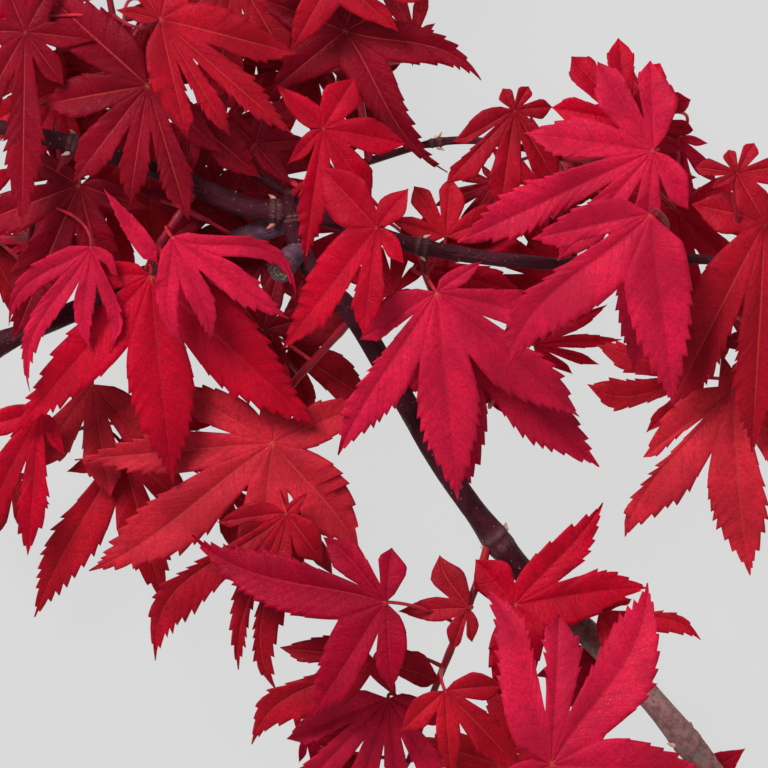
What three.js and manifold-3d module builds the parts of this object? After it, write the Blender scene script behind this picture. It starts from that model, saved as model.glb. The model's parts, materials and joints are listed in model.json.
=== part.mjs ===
// A cut branch of Japanese maple in red leaf, laid down flat. Millimetres, +Z up.
// The limbs lie level, the leaves hang in layers above and below them, and the
// lowest leaf tips stand on Z = 0. Seen from above, +X is right and +Y is up.
// Every blade is a height field over its plan, so a slab of even thickness.

import * as THREE from 'three';
import Module from 'manifold-3d';

const wasm = await Module();
wasm.setup();

// Driving dimensions, in millimetres unless the name says otherwise
const CENTRE = [-1.4, 0.7];
const GAP = 0.3;
const LEAF_THICKNESS = 0.8;
const LOBE_WIDTH_SHARE = 0.165;
const SINUS_SHARE = 0.36;
const WIDEST_SHARE = 0.42;
const TAPER_POWER = 1.32;
const OPEN_SINUS_SHARE = 0.16;
const OPEN_SIDE_DEGREES = 42;
const SINUS_PLAY = 0.5;
const FOLD_SLOPE = 0.2;
const ROLL_SLOPE = 0.22;
const DROOP_SHARE = 0.09;
const FOLD_RISE_SHARE = 0.2;
const ROLL_RISE_SHARE = 0.4;
const LEAST_SINUS_WIDTH = 0.4;
const BOW_PEAK = 27 / 4;
const STALK_RADIUS = 0.5;
const STALK_BACK_SHARE = 0.35;
const STALK_SAG_SHARE = 0.15;
const STEM_RADIUS = [0.9, 0.6];
const STEM_PLACES = 12;
const FIRST_PLACE = 3;
const TWIG_SIDES = 3;
const LIMB_SIDES = 8;
const STALK_STEPS = 2;
const TWIG_STEPS = 5;
const NEAR_ROW = 0.3;
const FAR_ROW = 0.66;
const SMALL_LOBE = 18.5;
const SMALL_ROW = 0.42;

// Sizes that the growing rule draws from for the leaves under and around the
// measured ones, and the spaces that it keeps
const GROWN_ROOT = [0.3, 1];
const GROWN_LENGTH = [20, 32];
const GROWN_STALK = [6, 18];
const GROWN_DROP = [4, 22];
const GROWN_LEAN = [0.05, 0.35];
const PALMATE = [[-115, 0.32], [-75, 0.64], [-38, 0.9], [0, 1], [38, 0.9], [75, 0.64], [115, 0.32]];
const SEEN_HALF_WIDTH = 79;
const DENSE_ZONES = [
  [-55, 51, 23], [-27, 51, 22], [-55, 31, 18], [-30, 23, 16], [-11, 62, 12], [47, 51, 12], [34, 38, 11], [68, 16, 13], [58, 36, 13],
];
const WHOLE_HALF_WIDTH = 118;
const BLADE_REACH = 7;
const BLADE_DROP = 4.5;
const LIMB_ROOM = 3;
const LIMB_PLACES = 40;
const FLOOR = LEAF_THICKNESS / 2;
const SAMPLE_SHARES = [0.4, 0.75];
const ATTEMPTS = 600;

const FINISHES = {
  bark: { color: 0x3a1220, roughness: 0.55 },
  old_bark: { color: 0x6b4a48, roughness: 0.8 },
  crimson: { color: 0xb3122e, roughness: 0.45 },
  scarlet: { color: 0xc41a22, roughness: 0.45 },
  wine: { color: 0x7d1024, roughness: 0.5 },
};

// Limbs: a route, the radius at its start and end, and swollen rings
// given as [share of the route, added radius, half length as a share].
const LIMBS = {
  main_stem: {
    route: [
      [71.4, -86, 20], [64.8, -76.8, 22], [53.2, -62.8, 25], [39.4, -48.6, 28], [26.6, -36.2, 30.5],
      [14.4, -20.2, 33.5], [5.2, -5.2, 35.5], [-1.8, 6.8, 37], [-7, 15, 37.5], [-13.2, 21, 38],
      [-17, 27.4, 38], [-18.4, 34.6, 38], [-18.8, 38.4, 38.5],
    ],
    radius: [2.6, 1.9],
    rings: [[0.36, 0.5, 0.016], [0.9, 0.4, 0.03], [0.119, 0.35, 0.02]],
    steps: 26,
    finish: 'bark',
  },
  left_limb: {
    route: [
      [-18.4, 34.4, 38], [-26.8, 35.2, 38.5], [-36.8, 39.2, 39], [-48.4, 43.8, 39], [-59.8, 47.4, 38.5],
      [-67, 49.2, 37.5], [-76.8, 51.4, 36], [-86, 52.8, 34],
    ],
    radius: [2.2, 1.4],
    rings: [[0.06, 0.35, 0.03], [0.62, 0.25, 0.02]],
    steps: 14,
    finish: 'bark',
  },
  right_limb: {
    route: [
      [-17.6, 35, 38], [-7, 32, 38.5], [2, 28.8, 39.5], [11.2, 26.8, 40.5], [19.2, 25.4, 41.5],
      [27.2, 24.6, 43], [36, 24, 44.5], [47.2, 24.4, 46.5], [60, 25, 48.5], [72.4, 24.4, 50],
    ],
    radius: [1.9, 0.9],
    rings: [[0.29, 0.3, 0.018], [0.7, 0.25, 0.02]],
    steps: 16,
    finish: 'bark',
  },
  lower_left_limb: {
    route: [[-17.8, 33, 36], [-30, 28.8, 31], [-45, 22.4, 27], [-62, 14.8, 24], [-76.8, 8.4, 22], [-88, 3.4, 21]],
    radius: [2.1, 2],
    rings: [[0.84, 0.7, 0.05]],
    steps: 10,
    finish: 'old_bark',
  },
  upper_twig: {
    route: [[-18.8, 37.8, 38.5], [-24.4, 41.2, 39.5], [-30.8, 44.8, 40], [-37, 49.4, 40], [-43, 54.6, 40]],
    radius: [1, 0.8],
    rings: [[0.5, 0.15, 0.04]],
    steps: 6,
    finish: 'bark',
  },
  far_twig: {
    route: [[-18, 38.4, 37.5], [-10, 42, 33], [-3, 44.8, 30], [9.4, 48.4, 29.5], [18.8, 48.8, 32], [29, 47.2, 36]],
    radius: [0.9, 0.65],
    rings: [[0.62, 0.15, 0.03]],
    steps: 10,
    finish: 'bark',
  },
};

// The pruned stub on the main stem, from its root to its flat cut.
const STUB = { route: [[-17, 26.6, 38.4], [-19, 25, 41.2], [-20.9, 22.6, 45.4]], radius: [2.2, 2.4], steps: 4 };

// Sprays: the route of each one's stem, the seed and number of the leaves that
// the rule adds, whether the first of those is a foot that stands on the floor,
// and the leaves as measured. A leaf is [finish, x, y, z, lean, lobes], where z
// is the height of its vein junction and lean how steeply it falls away from
// its stalk. A lobe is [azimuth in degrees, length, half width, bow], where no
// half width or 0 means the usual one, and the bow is how far the lobe curves
// out to its left.
const SPRAYS = {
  upper_left_leaves: {
    stem: [[-42.4, 54, 40], [-47, 58, 41.5], [-52, 66, 45], [-55, 78, 50], [-56, 90, 54]],
    seed: 17,
    grown: 6,
    leaves: [
      ['wine', -71.6, 70.2, 52, 0.1, [[60, 13], [112, 15], [178, 14], [241, 22], [269, 39, 4.6], [306, 13, 3], [354, 14]]],
      ['wine', -47.2, 59.6, 49, 0.05, [[138, 30, 5.6], [190, 22, 4.6], [232, 24, 5.4], [261, 24, 4], [287, 28, 4.8], [318, 20]]],
      ['crimson', -44.6, 72.6, 60, 0.1, [[74, 18], [121, 18], [168, 9], [283, 24, 4.6], [301, 27, 3.8], [319, 35, 3.6], [346, 28, 5]]],
      ['crimson', -38.2, 53, 44.5, 0.1, [[35, 10], [147, 8], [265, 12], [319, 18, 3.8]]],
    ],
  },
  left_leaves: {
    stem: [[-62, 47.8, 38], [-66, 42, 35], [-70, 34, 32], [-72, 24, 30]],
    seed: 23,
    grown: 3,
    leaves: [
      ['wine', -61.2, 40, 36, 0.1, [[150, 14], [201, 26], [247, 34, 6.4], [284, 24, 5], [341, 15]]],
      ['crimson', -58.6, 27.6, 44, 0.1, [[224, 23, 2.6, -3.5], [247, 31.6, 2.3, -3.8], [270, 21, 2, -1.6], [279, 21, 2.3, 3.2], [312, 8, 2]]],
    ],
  },
  left_tip_leaves: {
    stem: [[-85.4, 52.8, 34], [-90, 53, 34], [-95, 50, 33], [-99, 44, 31]],
    seed: 37,
    grown: 4,
    foot: true,
    leaves: [],
  },
  hanging_leaves: {
    stem: [[-37.4, 39.4, 39], [-41, 34, 41], [-45, 28, 40], [-47.6, 23, 37]],
    seed: 41,
    grown: 3,
    leaves: [
      ['crimson', -46.8, 21.8, 40, 0.1, [[180, 16], [229, 43, 5], [276, 42, 6.2], [317.5, 45, 6.9]]],
      ['crimson', -42.4, 29.4, 51, 0.1, [[278, 22.5, 2.3, -3], [290, 22.8, 2.7, 1.4], [325, 28.5, 3.2, -0.5], [329, 28.9, 2.1, 7.6]]],
      ['scarlet', -45.4, 24.4, 47, -0.2, [[126, 18, 1.8]]],
      ['wine', -35, 35, 30, 0, [[8, 15], [55, 13], [110, 14], [165, 15], [215, 12], [320, 12]]],
    ],
  },
  lower_left_leaves: {
    stem: [[-58, 16.4, 25], [-59, 9, 24], [-60, 0, 21], [-58, -8, 18]],
    seed: 53,
    grown: 1,
    leaves: [
      ['scarlet', -58.8, 0, 24, 0.1, [[192, 11], [235, 21, 5.2], [279, 23, 5.4], [312, 21, 4.4]]],
      ['crimson', -69.2, -5.6, 28, 0.1, [[195, 16], [243, 28, 5], [265, 29, 4.2], [300, 10]]],
      ['wine', -52.8, -13.6, 18, 0.1, [[200, 12], [242, 38, 5.2, -0.8], [285, 31, 5], [320, 22]]],
    ],
  },
  lower_left_tip_leaves: {
    stem: [[-87, 3.6, 21], [-92, 1, 21], [-97, -4, 20]],
    seed: 67,
    grown: 3,
    foot: true,
    leaves: [],
  },
  lower_middle_leaves: {
    stem: [[-6, 13.6, 37], [-12, 7, 30], [-19, -1, 27], [-23, -10, 27], [-21, -20, 28]],
    seed: 71,
    grown: 1,
    leaves: [
      ['scarlet', -22.4, -11.8, 31, 0.05, [[23, 22, 4], [81, 17], [150, 24, 4.4], [185, 40, 4], [215, 45, 6.8, 1.5], [264, 27, 6], [309, 27.5, 6.2, 0.8]]],
      ['crimson', -19.6, -25.8, 37, 0.1, [[43, 6], [188, 14, 3], [228.5, 39.7, 6.4, -6.2], [253, 33, 3, -2.2], [267, 36, 4.8, -4], [306, 12.4, 3.6]]],
      ['scarlet', -19.2, 7.2, 22, 0.1, [[37, 17, 3.4], [79, 14], [287, 16], [327, 20, 4.6]]],
      ['wine', -24.4, 10.8, 29.5, 0.05, [[15, 11, 3], [75, 14], [130, 20], [180, 16], [238, 12], [300, 12]]],
    ],
  },
  fork_leaves: {
    stem: [[-18.8, 37.4, 38.5], [-16, 40, 42], [-12, 42, 44.5], [-8, 42.5, 46]],
    seed: 89,
    grown: 2,
    leaves: [
      ['scarlet', -12.2, 51, 50, 0.1, [[58, 12, 4.4], [137, 13], [225, 10], [262, 27, 3.2], [305, 17, 4.4], [350, 17, 4]]],
      ['crimson', -1.4, 31.2, 56, 0.1, [[51, 10, 2.8], [133, 17, 5], [232, 31, 5], [263, 22, 4], [307, 9, 2]]],
      ['wine', -25.8, 48, 42.2, 0.1, [[5, 11], [74, 10], [136, 10], [311, 11]]],
    ],
  },
  top_leaves: {
    stem: [[-3, 44.8, 30], [-4, 52, 31], [-6, 64, 33], [-8, 78, 37], [-9, 90, 42]],
    seed: 97,
    grown: 4,
    foot: true,
    leaves: [
      ['wine', -7.8, 70.8, 38, 0.1, [[72, 18], [159, 20], [219, 20], [306, 35, 3.2, -2.6], [340, 29, 3.6, 3]]],
      ['crimson', -9.8, 81.8, 48, 0.1, [[86, 18], [183, 20], [240, 18], [318, 17], [346, 20]]],
      ['wine', -30, 83, 36, 0.05, [[60, 13], [110, 14], [180, 15], [222, 23, 5.6], [262, 27, 6.6], [300, 22, 5.8], [345, 14]]],
    ],
  },
  centre_leaves: {
    stem: [[8.6, 27.4, 40], [8.4, 22, 36], [12, 16, 32], [20, 11, 29], [27, 8.6, 27]],
    seed: 101,
    grown: 1,
    leaves: [
      ['crimson', 10.4, 18.4, 49, 0.08, [[34, 11], [212, 18, 4.4], [239, 38, 5.6, -0.8], [276, 42, 6.2], [319, 38, 6.2], [347, 29, 4.6]]],
      ['wine', 14.4, 11.2, 38, 0.1, [[232, 18], [274, 33, 5], [316, 40, 6.8]]],
      ['crimson', 12.4, 29.6, 33, 0, [[20, 18, 3.6], [85, 12, 3.6], [122, 12, 4], [163, 12]]],
      ['wine', 6.4, 24, 30.5, 0, [[75, 12], [110, 9], [345, 22, 4.4], [20, 25, 4.6]]],
      ['crimson', 30, 8, 27, 0.05, [[323, 10, 1.5], [343, 14, 1.5], [3, 18, 1.5], [28, 17, 1.8]]],
    ],
  },
  upper_right_leaves: {
    stem: [[28.4, 47.4, 36], [34, 45.6, 40], [42, 45, 46], [50, 46, 53]],
    seed: 113,
    grown: 2,
    leaves: [
      ['crimson', 53.6, 46.4, 61, 0.08, [[92, 18, 5.6], [122, 21, 5.2], [172, 26, 4.8], [205, 43, 6.4], [229, 29, 6], [265, 16, 4], [301, 13.6, 3.6]]],
      ['scarlet', 26.2, 54.8, 45, 0.08, [[5, 7.5, 3], [60, 5.5, 3], [120, 5, 2.6], [207, 14, 3.2, 0.5], [227, 20, 5], [262, 20, 5], [300, 17, 4.6]]],
      ['wine', 48.8, 52.2, 54.5, 0.06, [[20, 13.2, 5], [62, 13.4, 6], [97, 17, 5.2], [131, 17.4, 6.4], [169, 15.7, 4.4], [332, 12.3, 4], [353, 13, 5.4]]],
    ],
  },
  front_right_leaves: {
    stem: [[54.6, 24.8, 47.6], [56, 28, 54], [56, 32, 62], [54.6, 34, 67]],
    seed: 127,
    grown: 0,
    leaves: [
      ['crimson', 52.8, 33.8, 72, 0.12, [[192, 24, 4.6], [227, 42, 7.2, -3.6], [277, 39, 5.8]]],
      ['crimson', 53.6, 30, 58, 0.15, [[262, 28, 5.4]]],
    ],
  },
  right_leaves: {
    stem: [[72, 24.4, 50], [77, 22, 51], [81, 14, 49], [82, 4, 45], [80, -8, 42]],
    seed: 131,
    grown: 3,
    foot: true,
    leaves: [
      ['wine', 75.8, 32.4, 63, 0.1, [[167, 15, 4.4], [243, 42, 6.8], [267, 46, 6.2], [312, 30]]],
      ['scarlet', 69.4, -1.4, 52, 0.08, [[106, 8], [217, 22, 5], [234, 36, 6.9, -2.2], [276, 37, 6.2, -0.6], [312, 28, 5]]],
      ['wine', 64.2, 1.2, 42, 0.05, [[144, 14], [163, 22.5, 4.4], [183, 23.5, 6, 3], [223, 16]]],
      ['crimson', 70, 41.8, 70, 0.1, [[9, 14, 5], [60, 7, 3.6], [110, 5, 3], [172, 8.4, 3.6], [211, 6], [300, 12, 3.6]]],
    ],
  },
  shoot_leaves: {
    stem: [[21.2, -31, 31.5], [19, -39, 35], [16.6, -45.2, 36.5], [13.6, -52.8, 34.5], [8.4, -66, 26], [5, -76, 23]],
    stem_radius: [0.9, 0.65],
    seed: 149,
    grown: 1,
    leaves: [
      ['crimson', 0.4, -43.6, 48, 0.06, [[84, 11, 4.4], [134, 18, 4.2, -0.8], [161, 41, 5.8, 3.2], [237, 29, 4.6], [274, 18, 3.6]]],
      ['scarlet', -2, -55.2, 36, 0.08, [[173, 19, 3.6], [215, 30, 6, -3.6], [300, 9], [342, 14, 5]]],
      ['crimson', 0.8, -63.2, 28, 0.08, [[202, 22, 5.4], [226, 29, 6.2], [254, 27, 5.4], [276, 26, 4.2], [301, 23, 4], [338, 14]]],
      ['crimson', 12.2, -61.4, 41, 0.08, [[223, 12, 3], [274, 20, 2.2], [314, 23, 4], [5, 12, 3.4]]],
      ['wine', 16.8, -44.8, 42, 0.05, [[118, 12, 4, 1], [183, 14, 2.4], [249, 9, 2.6], [277, 7, 1.8]]],
      ['crimson', 26.2, -44.2, 38, 0.03, [[7, 27, 5, 0.5], [49, 27, 3.8, -0.8], [131, 12, 4.8], [268, 23, 4.8]]],
    ],
  },
  lower_right_leaves: {
    stem: [[65.4, -77.6, 22], [58, -82, 26], [47, -86, 34], [38, -84, 42], [34, -80, 47]],
    seed: 163,
    grown: 3,
    foot: true,
    leaves: [
      ['crimson', 33.4, -76, 52, 0.08, [[62, 41, 7.6, -3.4], [87, 30, 8], [111, 38, 5.8, -2.4], [204, 18], [276, 18], [357, 32, 5.4]]],
      ['crimson', 43.2, -45.6, 32.5, 0.05, [[300, 12, 3], [344, 21.3, 3.4, 2.2], [20, 7, 2]]],
      ['crimson', 61.2, -81.2, 19, 0.05, [[33, 14, 3], [231, 14], [310, 16]]],
    ],
  },
};

// Small helpers
const radians = (degrees) => (degrees * Math.PI) / 180;
const clamp = (value, low, high) => Math.min(high, Math.max(low, value));
const mix = (a, b, share) => a + (b - a) * share;
const smooth = (value) => value * value * (3 - 2 * value);

// A stream of even numbers from 0 to 1 that is the same for the same seed.
function drawer(seed) {
  let state = seed >>> 0;
  return () => {
    state = (state + 0x6d2b79f5) >>> 0;
    let word = state;
    word = Math.imul(word ^ (word >>> 15), word | 1);
    word ^= word + Math.imul(word ^ (word >>> 7), word | 61);
    return ((word ^ (word >>> 14)) >>> 0) / 4294967296;
  };
}

// A route is a uniform Catmull-Rom curve through its points.
function curveOf(route) {
  return new THREE.CatmullRomCurve3(route.map((p) => new THREE.Vector3(...p)), false, 'catmullrom', 0.5);
}

// A closed solid from its vertices and triangles.
function solidFrom(vertices, triangles) {
  return new wasm.Manifold(new wasm.Mesh({
    numProp: 3,
    vertProperties: new Float32Array(vertices.flat()),
    triVerts: new Uint32Array(triangles.flat()),
  }));
}

// A tube along a curve, with a radius for each share of the way and flat
// ends, which can reach on past the ends of the curve.
function tube(curve, radiusAt, sides, steps, reach = 0) {
  const vertices = [];
  const triangles = [];
  const up = new THREE.Vector3(0, 0, 1);
  const across = new THREE.Vector3();
  const over = new THREE.Vector3();
  for (let ring = 0; ring <= steps; ring++) {
    const share = ring / steps;
    const centre = curve.getPoint(share);
    const tangent = curve.getTangent(share);
    across.crossVectors(up, tangent).normalize();
    over.crossVectors(tangent, across);
    if (ring === 0) centre.addScaledVector(tangent, -reach);
    if (ring === steps) centre.addScaledVector(tangent, reach);
    const radius = radiusAt(share);
    for (let side = 0; side < sides; side++) {
      const turn = (2 * Math.PI * side) / sides;
      const spot = centre.clone();
      spot.addScaledVector(across, radius * Math.cos(turn)).addScaledVector(over, radius * Math.sin(turn));
      vertices.push(spot.toArray());
      if (ring === steps) continue;
      const next = (side + 1) % sides;
      const here = ring * sides;
      triangles.push([here + side, here + next, here + sides + next]);
      triangles.push([here + side, here + sides + next, here + sides + side]);
    }
  }
  for (let side = 1; side < sides - 1; side++) {
    const last = steps * sides;
    triangles.push([0, side + 1, side], [last, last + side, last + side + 1]);
  }
  return solidFrom(vertices, triangles);
}

// The radius along a limb: an even taper with its swollen rings.
function limbRadius(limb, extra = 0) {
  return (share) => {
    let radius = mix(limb.radius[0], limb.radius[1], share) + extra;
    for (const [place, swell, half] of limb.rings ?? []) {
      const away = clamp(Math.abs(share - place) / (2 * half), 0, 1);
      radius += swell * (1 - smooth(away));
    }
    return radius;
  };
}

const limbCurves = Object.fromEntries(Object.entries(LIMBS).map(([name, limb]) => [name, curveOf(limb.route)]));

function limbSolid(name, extra = 0) {
  return tube(limbCurves[name], limbRadius(LIMBS[name], extra), LIMB_SIDES, LIMBS[name].steps, extra);
}

function stubSolid(extra = 0) {
  return tube(curveOf(STUB.route), limbRadius(STUB, extra), LIMB_SIDES, STUB.steps, extra);
}

// How far a lobe's curved midrib stands off the straight line to its tip. It
// leaves the vein junction straight and is furthest off at two thirds.
function bowAt(bow, length, along) {
  const share = clamp(along / length, 0, 1);
  return BOW_PEAK * bow * share * share * (1 - share);
}

// The side of an end lobe that no other lobe joins.
function openSide(lobe) {
  const slope = Math.tan(radians(OPEN_SIDE_DEGREES));
  const along = Math.min(OPEN_SINUS_SHARE * lobe.length, lobe.half / slope);
  return { along, across: along * slope, slope, drift: 0 };
}

// The two sides of the sinus between a lobe and the next one to its left.
function joinLobes(a, b) {
  const half = radians(((b.azimuth - a.azimuth + 360) % 360) / 2);
  const radius = SINUS_SHARE * Math.min(a.length, b.length);
  const bows = [bowAt(a.bow, a.length, radius), bowAt(b.bow, b.length, radius)];
  const middle = (bows[0] + bows[1]) / 2;
  const slope = Math.tan(half);
  const drift = (b.bow - a.bow) / 2;
  const sideOf = (along, across) => ({ along, across: Math.max(LEAST_SINUS_WIDTH, across), slope, drift });
  const lift = middle * Math.sin(half);
  const reach = radius * Math.cos(half);
  const spread = radius * Math.sin(half);
  a.left = sideOf(reach - lift, spread + middle * Math.cos(half) - bows[0]);
  b.right = sideOf(reach + lift, spread - middle * Math.cos(half) + bows[1]);
}

// A leaf from its row: its lobes in turn from one side of the stalk round to
// the other, and the sinus between each two.
function leafOf(row, seed) {
  const [finish, x, y, z, lean, sizes] = row;
  const draw = drawer(seed);
  const lobes = sizes.map(([azimuth, length, half, bow]) => ({
    azimuth, length, half: half || LOBE_WIDTH_SHARE * length, bow: bow ?? 0,
  }));
  lobes.sort((a, b) => a.azimuth - b.azimuth);
  const gaps = lobes.map((lobe, i) => (i + 1 < lobes.length
    ? lobes[i + 1].azimuth - lobe.azimuth : lobes[0].azimuth + 360 - lobe.azimuth));
  const widest = gaps.indexOf(Math.max(...gaps));
  const turned = lobes.map((_, i) => lobes[(widest + 1 + i) % lobes.length]);
  const stalkAzimuth = lobes[widest].azimuth + gaps[widest] / 2;
  const reach = Math.max(...lobes.map((lobe) => lobe.length));
  for (const lobe of turned) {
    lobe.roll = ROLL_SLOPE * (2 * draw() - 1);
    lobe.droop = DROOP_SHARE * (0.5 + draw());
    lobe.right = openSide(lobe);
    lobe.left = openSide(lobe);
  }
  for (let i = 0; i + 1 < turned.length; i++) joinLobes(turned[i], turned[i + 1]);
  for (const lobe of turned) lobe.free = Math.max(lobe.left.along, lobe.right.along);
  return { finish, x, y, z, lean, reach, stalkAzimuth, lobes: turned };
}

// The half width of one side of a lobe, at a distance from the vein junction.
function halfWidth(lobe, side, along) {
  if (along <= side.along) return (side.across * along) / side.along;
  const share = clamp((along - side.along) / (lobe.length - side.along), 0, 1);
  const swell = (lobe.half / (1 - WIDEST_SHARE) ** TAPER_POWER - side.across) / WIDEST_SHARE;
  const free = (1 - share) ** TAPER_POWER * (side.across + swell * share);
  const drift = bowAt(side.drift, lobe.length, along) - bowAt(side.drift, lobe.length, side.along);
  return Math.min(free, side.across + SINUS_PLAY * (along - side.along) * side.slope + drift);
}

// The place in space of a point of a leaf, from its lobe and its distances
// along and across that lobe's midrib.
function onLeaf(leaf, lobe, along, across) {
  const turn = radians(lobe.azimuth);
  const off = across + bowAt(lobe.bow, lobe.length, along);
  const dx = along * Math.cos(turn) - off * Math.sin(turn);
  const dy = along * Math.sin(turn) + off * Math.cos(turn);
  const back = radians(leaf.stalkAzimuth);
  const past = clamp((along - lobe.free) / (lobe.length - lobe.free), 0, 1);
  const rise = leaf.lean * (dx * Math.cos(back) + dy * Math.sin(back))
    + FOLD_SLOPE * Math.abs(across) * Math.min(1, along / (FOLD_RISE_SHARE * leaf.reach))
    + lobe.roll * across * smooth(Math.min(1, past / ROLL_RISE_SHARE))
    - lobe.droop * lobe.length * past * past;
  return [leaf.x + dx, leaf.y + dy, leaf.z + rise];
}

// Whether a leaf lies over or under a place seen from above.
function covers(leaf, x, y) {
  return leaf.lobes.some((lobe) => {
    const turn = radians(lobe.azimuth);
    const along = (x - leaf.x) * Math.cos(turn) + (y - leaf.y) * Math.sin(turn);
    if (along < 0 || along > lobe.length) return false;
    const off = (y - leaf.y) * Math.cos(turn) - (x - leaf.x) * Math.sin(turn);
    const across = off - bowAt(lobe.bow, lobe.length, along);
    return across < halfWidth(lobe, lobe.left, along) && -across < halfWidth(lobe, lobe.right, along);
  });
}

// The leaf's blade as a closed slab with few faces.
function bladeSolid(leaf) {
  const vertices = [];
  const triangles = [];
  const add = ([px, py, pz]) => {
    vertices.push([px, py, pz + LEAF_THICKNESS / 2], [px, py, pz - LEAF_THICKNESS / 2]);
    return vertices.length - 2;
  };
  const cap = (a, b, c) => triangles.push([a, b, c], [a + 1, c + 1, b + 1]);
  const rim = (...line) => {
    for (let i = 0; i + 1 < line.length; i++) {
      const [a, b] = [line[i], line[i + 1]];
      triangles.push([a, a + 1, b + 1], [a, b + 1, b]);
    }
  };
  const junction = add([leaf.x, leaf.y, leaf.z]);
  const { lobes } = leaf;
  let right = add(onLeaf(leaf, lobes[0], lobes[0].right.along, -lobes[0].right.across));
  rim(junction, right);
  for (const lobe of lobes) {
    const left = add(onLeaf(leaf, lobe, lobe.left.along, lobe.left.across));
    const across = (share, sides) => {
      const along = mix(lobe.free, lobe.length, share);
      const widths = { right: -halfWidth(lobe, lobe.right, along), middle: 0, left: halfWidth(lobe, lobe.left, along) };
      return sides.map((side) => add(onLeaf(leaf, lobe, along, widths[side])));
    };
    const small = leaf.plain || lobe.length < SMALL_LOBE;
    const [r1, m1, l1] = across(small ? SMALL_ROW : NEAR_ROW, ['right', 'middle', 'left']);
    const tip = add(onLeaf(leaf, lobe, lobe.length, 0));
    cap(junction, right, m1);
    cap(junction, m1, left);
    cap(right, r1, m1);
    cap(m1, l1, left);
    if (small) {
      cap(r1, tip, m1);
      cap(m1, tip, l1);
      rim(right, r1, tip, l1, left);
    } else {
      const [r2, l2] = across(FAR_ROW, ['right', 'left']);
      cap(r1, r2, m1);
      cap(m1, r2, l2);
      cap(m1, l2, l1);
      cap(r2, tip, l2);
      rim(right, r1, r2, tip, l2, l1, left);
    }
    right = left;
  }
  rim(right, junction);
  return solidFrom(vertices, triangles);
}

// The stalk runs from the nearest place on the spray's stem to the vein
// junction, which it reaches from behind and a little below.
function stalkCurve(leaf, stem) {
  const junction = new THREE.Vector3(leaf.x, leaf.y, leaf.z);
  let start = null;
  for (let place = FIRST_PLACE; place <= STEM_PLACES; place++) {
    const spot = stem.getPoint(place / STEM_PLACES);
    if (!start || spot.distanceTo(junction) < start.distanceTo(junction)) start = spot;
  }
  const length = start.distanceTo(junction);
  const back = radians(leaf.stalkAzimuth);
  const bend = junction.clone();
  bend.x += STALK_BACK_SHARE * length * Math.cos(back);
  bend.y += STALK_BACK_SHARE * length * Math.sin(back);
  bend.z -= STALK_SAG_SHARE * length;
  return new THREE.QuadraticBezierCurve3(start, bend, junction);
}

// Spots on a leaf that stand for it when leaves are kept apart.
function samplesOf(leaf) {
  const spots = [[leaf.x, leaf.y, leaf.z]];
  for (const lobe of leaf.lobes) {
    spots.push(onLeaf(leaf, lobe, lobe.length, 0));
    for (const share of SAMPLE_SHARES) {
      const along = share * lobe.length;
      spots.push(onLeaf(leaf, lobe, along, 0));
      spots.push(onLeaf(leaf, lobe, along, halfWidth(lobe, lobe.left, along)));
      spots.push(onLeaf(leaf, lobe, along, -halfWidth(lobe, lobe.right, along)));
    }
  }
  return spots;
}

const limbSpots = Object.entries(LIMBS).flatMap(([name, limb]) => {
  const radius = limbRadius(limb);
  const shares = Array.from({ length: LIMB_PLACES + 1 }, (_, place) => place / LIMB_PLACES);
  return shares.map((share) => [...limbCurves[name].getPoint(share).toArray(), radius(share)]);
});

// Whether two spots are too close, both seen from above and in height.
function clash(a, b, reach, drop) {
  return Math.abs(a[2] - b[2]) < drop && Math.hypot(a[0] - b[0], a[1] - b[1]) < reach;
}

// A grown leaf keeps clear of every other blade and limb. Within the measured
// part of the crown it stays in the dense zones or over or under measured
// leaves, so the gaps there stay open.
function hasRoom(leaf, measured, taken) {
  return samplesOf(leaf).every((spot) => {
    const side = Math.max(Math.abs(spot[0]), Math.abs(spot[1]));
    if (spot[2] < FLOOR - 1e-6 || side > WHOLE_HALF_WIDTH) return false;
    if (taken.some((other) => clash(spot, other, BLADE_REACH, BLADE_DROP))) return false;
    if (limbSpots.some((limb) => clash(spot, limb, limb[3] + LIMB_ROOM, limb[3] + LIMB_ROOM))) return false;
    return side > SEEN_HALF_WIDTH || DENSE_ZONES.some(([x, y, reach]) => Math.hypot(spot[0] - x, spot[1] - y) < reach)
      || measured.some((other) => covers(other, spot[0], spot[1]));
  });
}

// One drawn leaf: its place beside the stem and its size come from the rule.
// A foot leaf hangs until its lowest tip stands on the floor.
function drawLeaf(stem, draw, foot, seed) {
  const root = stem.getPoint(mix(...GROWN_ROOT, draw()));
  const aim = 360 * draw();
  const stalk = mix(...GROWN_STALK, draw());
  const length = mix(...GROWN_LENGTH, draw());
  const drop = mix(...GROWN_DROP, draw());
  const lean = mix(...GROWN_LEAN, draw());
  const x = root.x + stalk * Math.cos(radians(aim));
  const y = root.y + stalk * Math.sin(radians(aim));
  const lobes = PALMATE.map(([turn, share]) => [(aim + turn + 720) % 360, length * share]);
  const leaf = leafOf(['wine', x, y, root.z - drop, lean, lobes], seed);
  leaf.plain = true;
  if (foot) leaf.z += FLOOR - Math.min(...samplesOf(leaf).map((spot) => spot[2]));
  return leaf;
}

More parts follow.
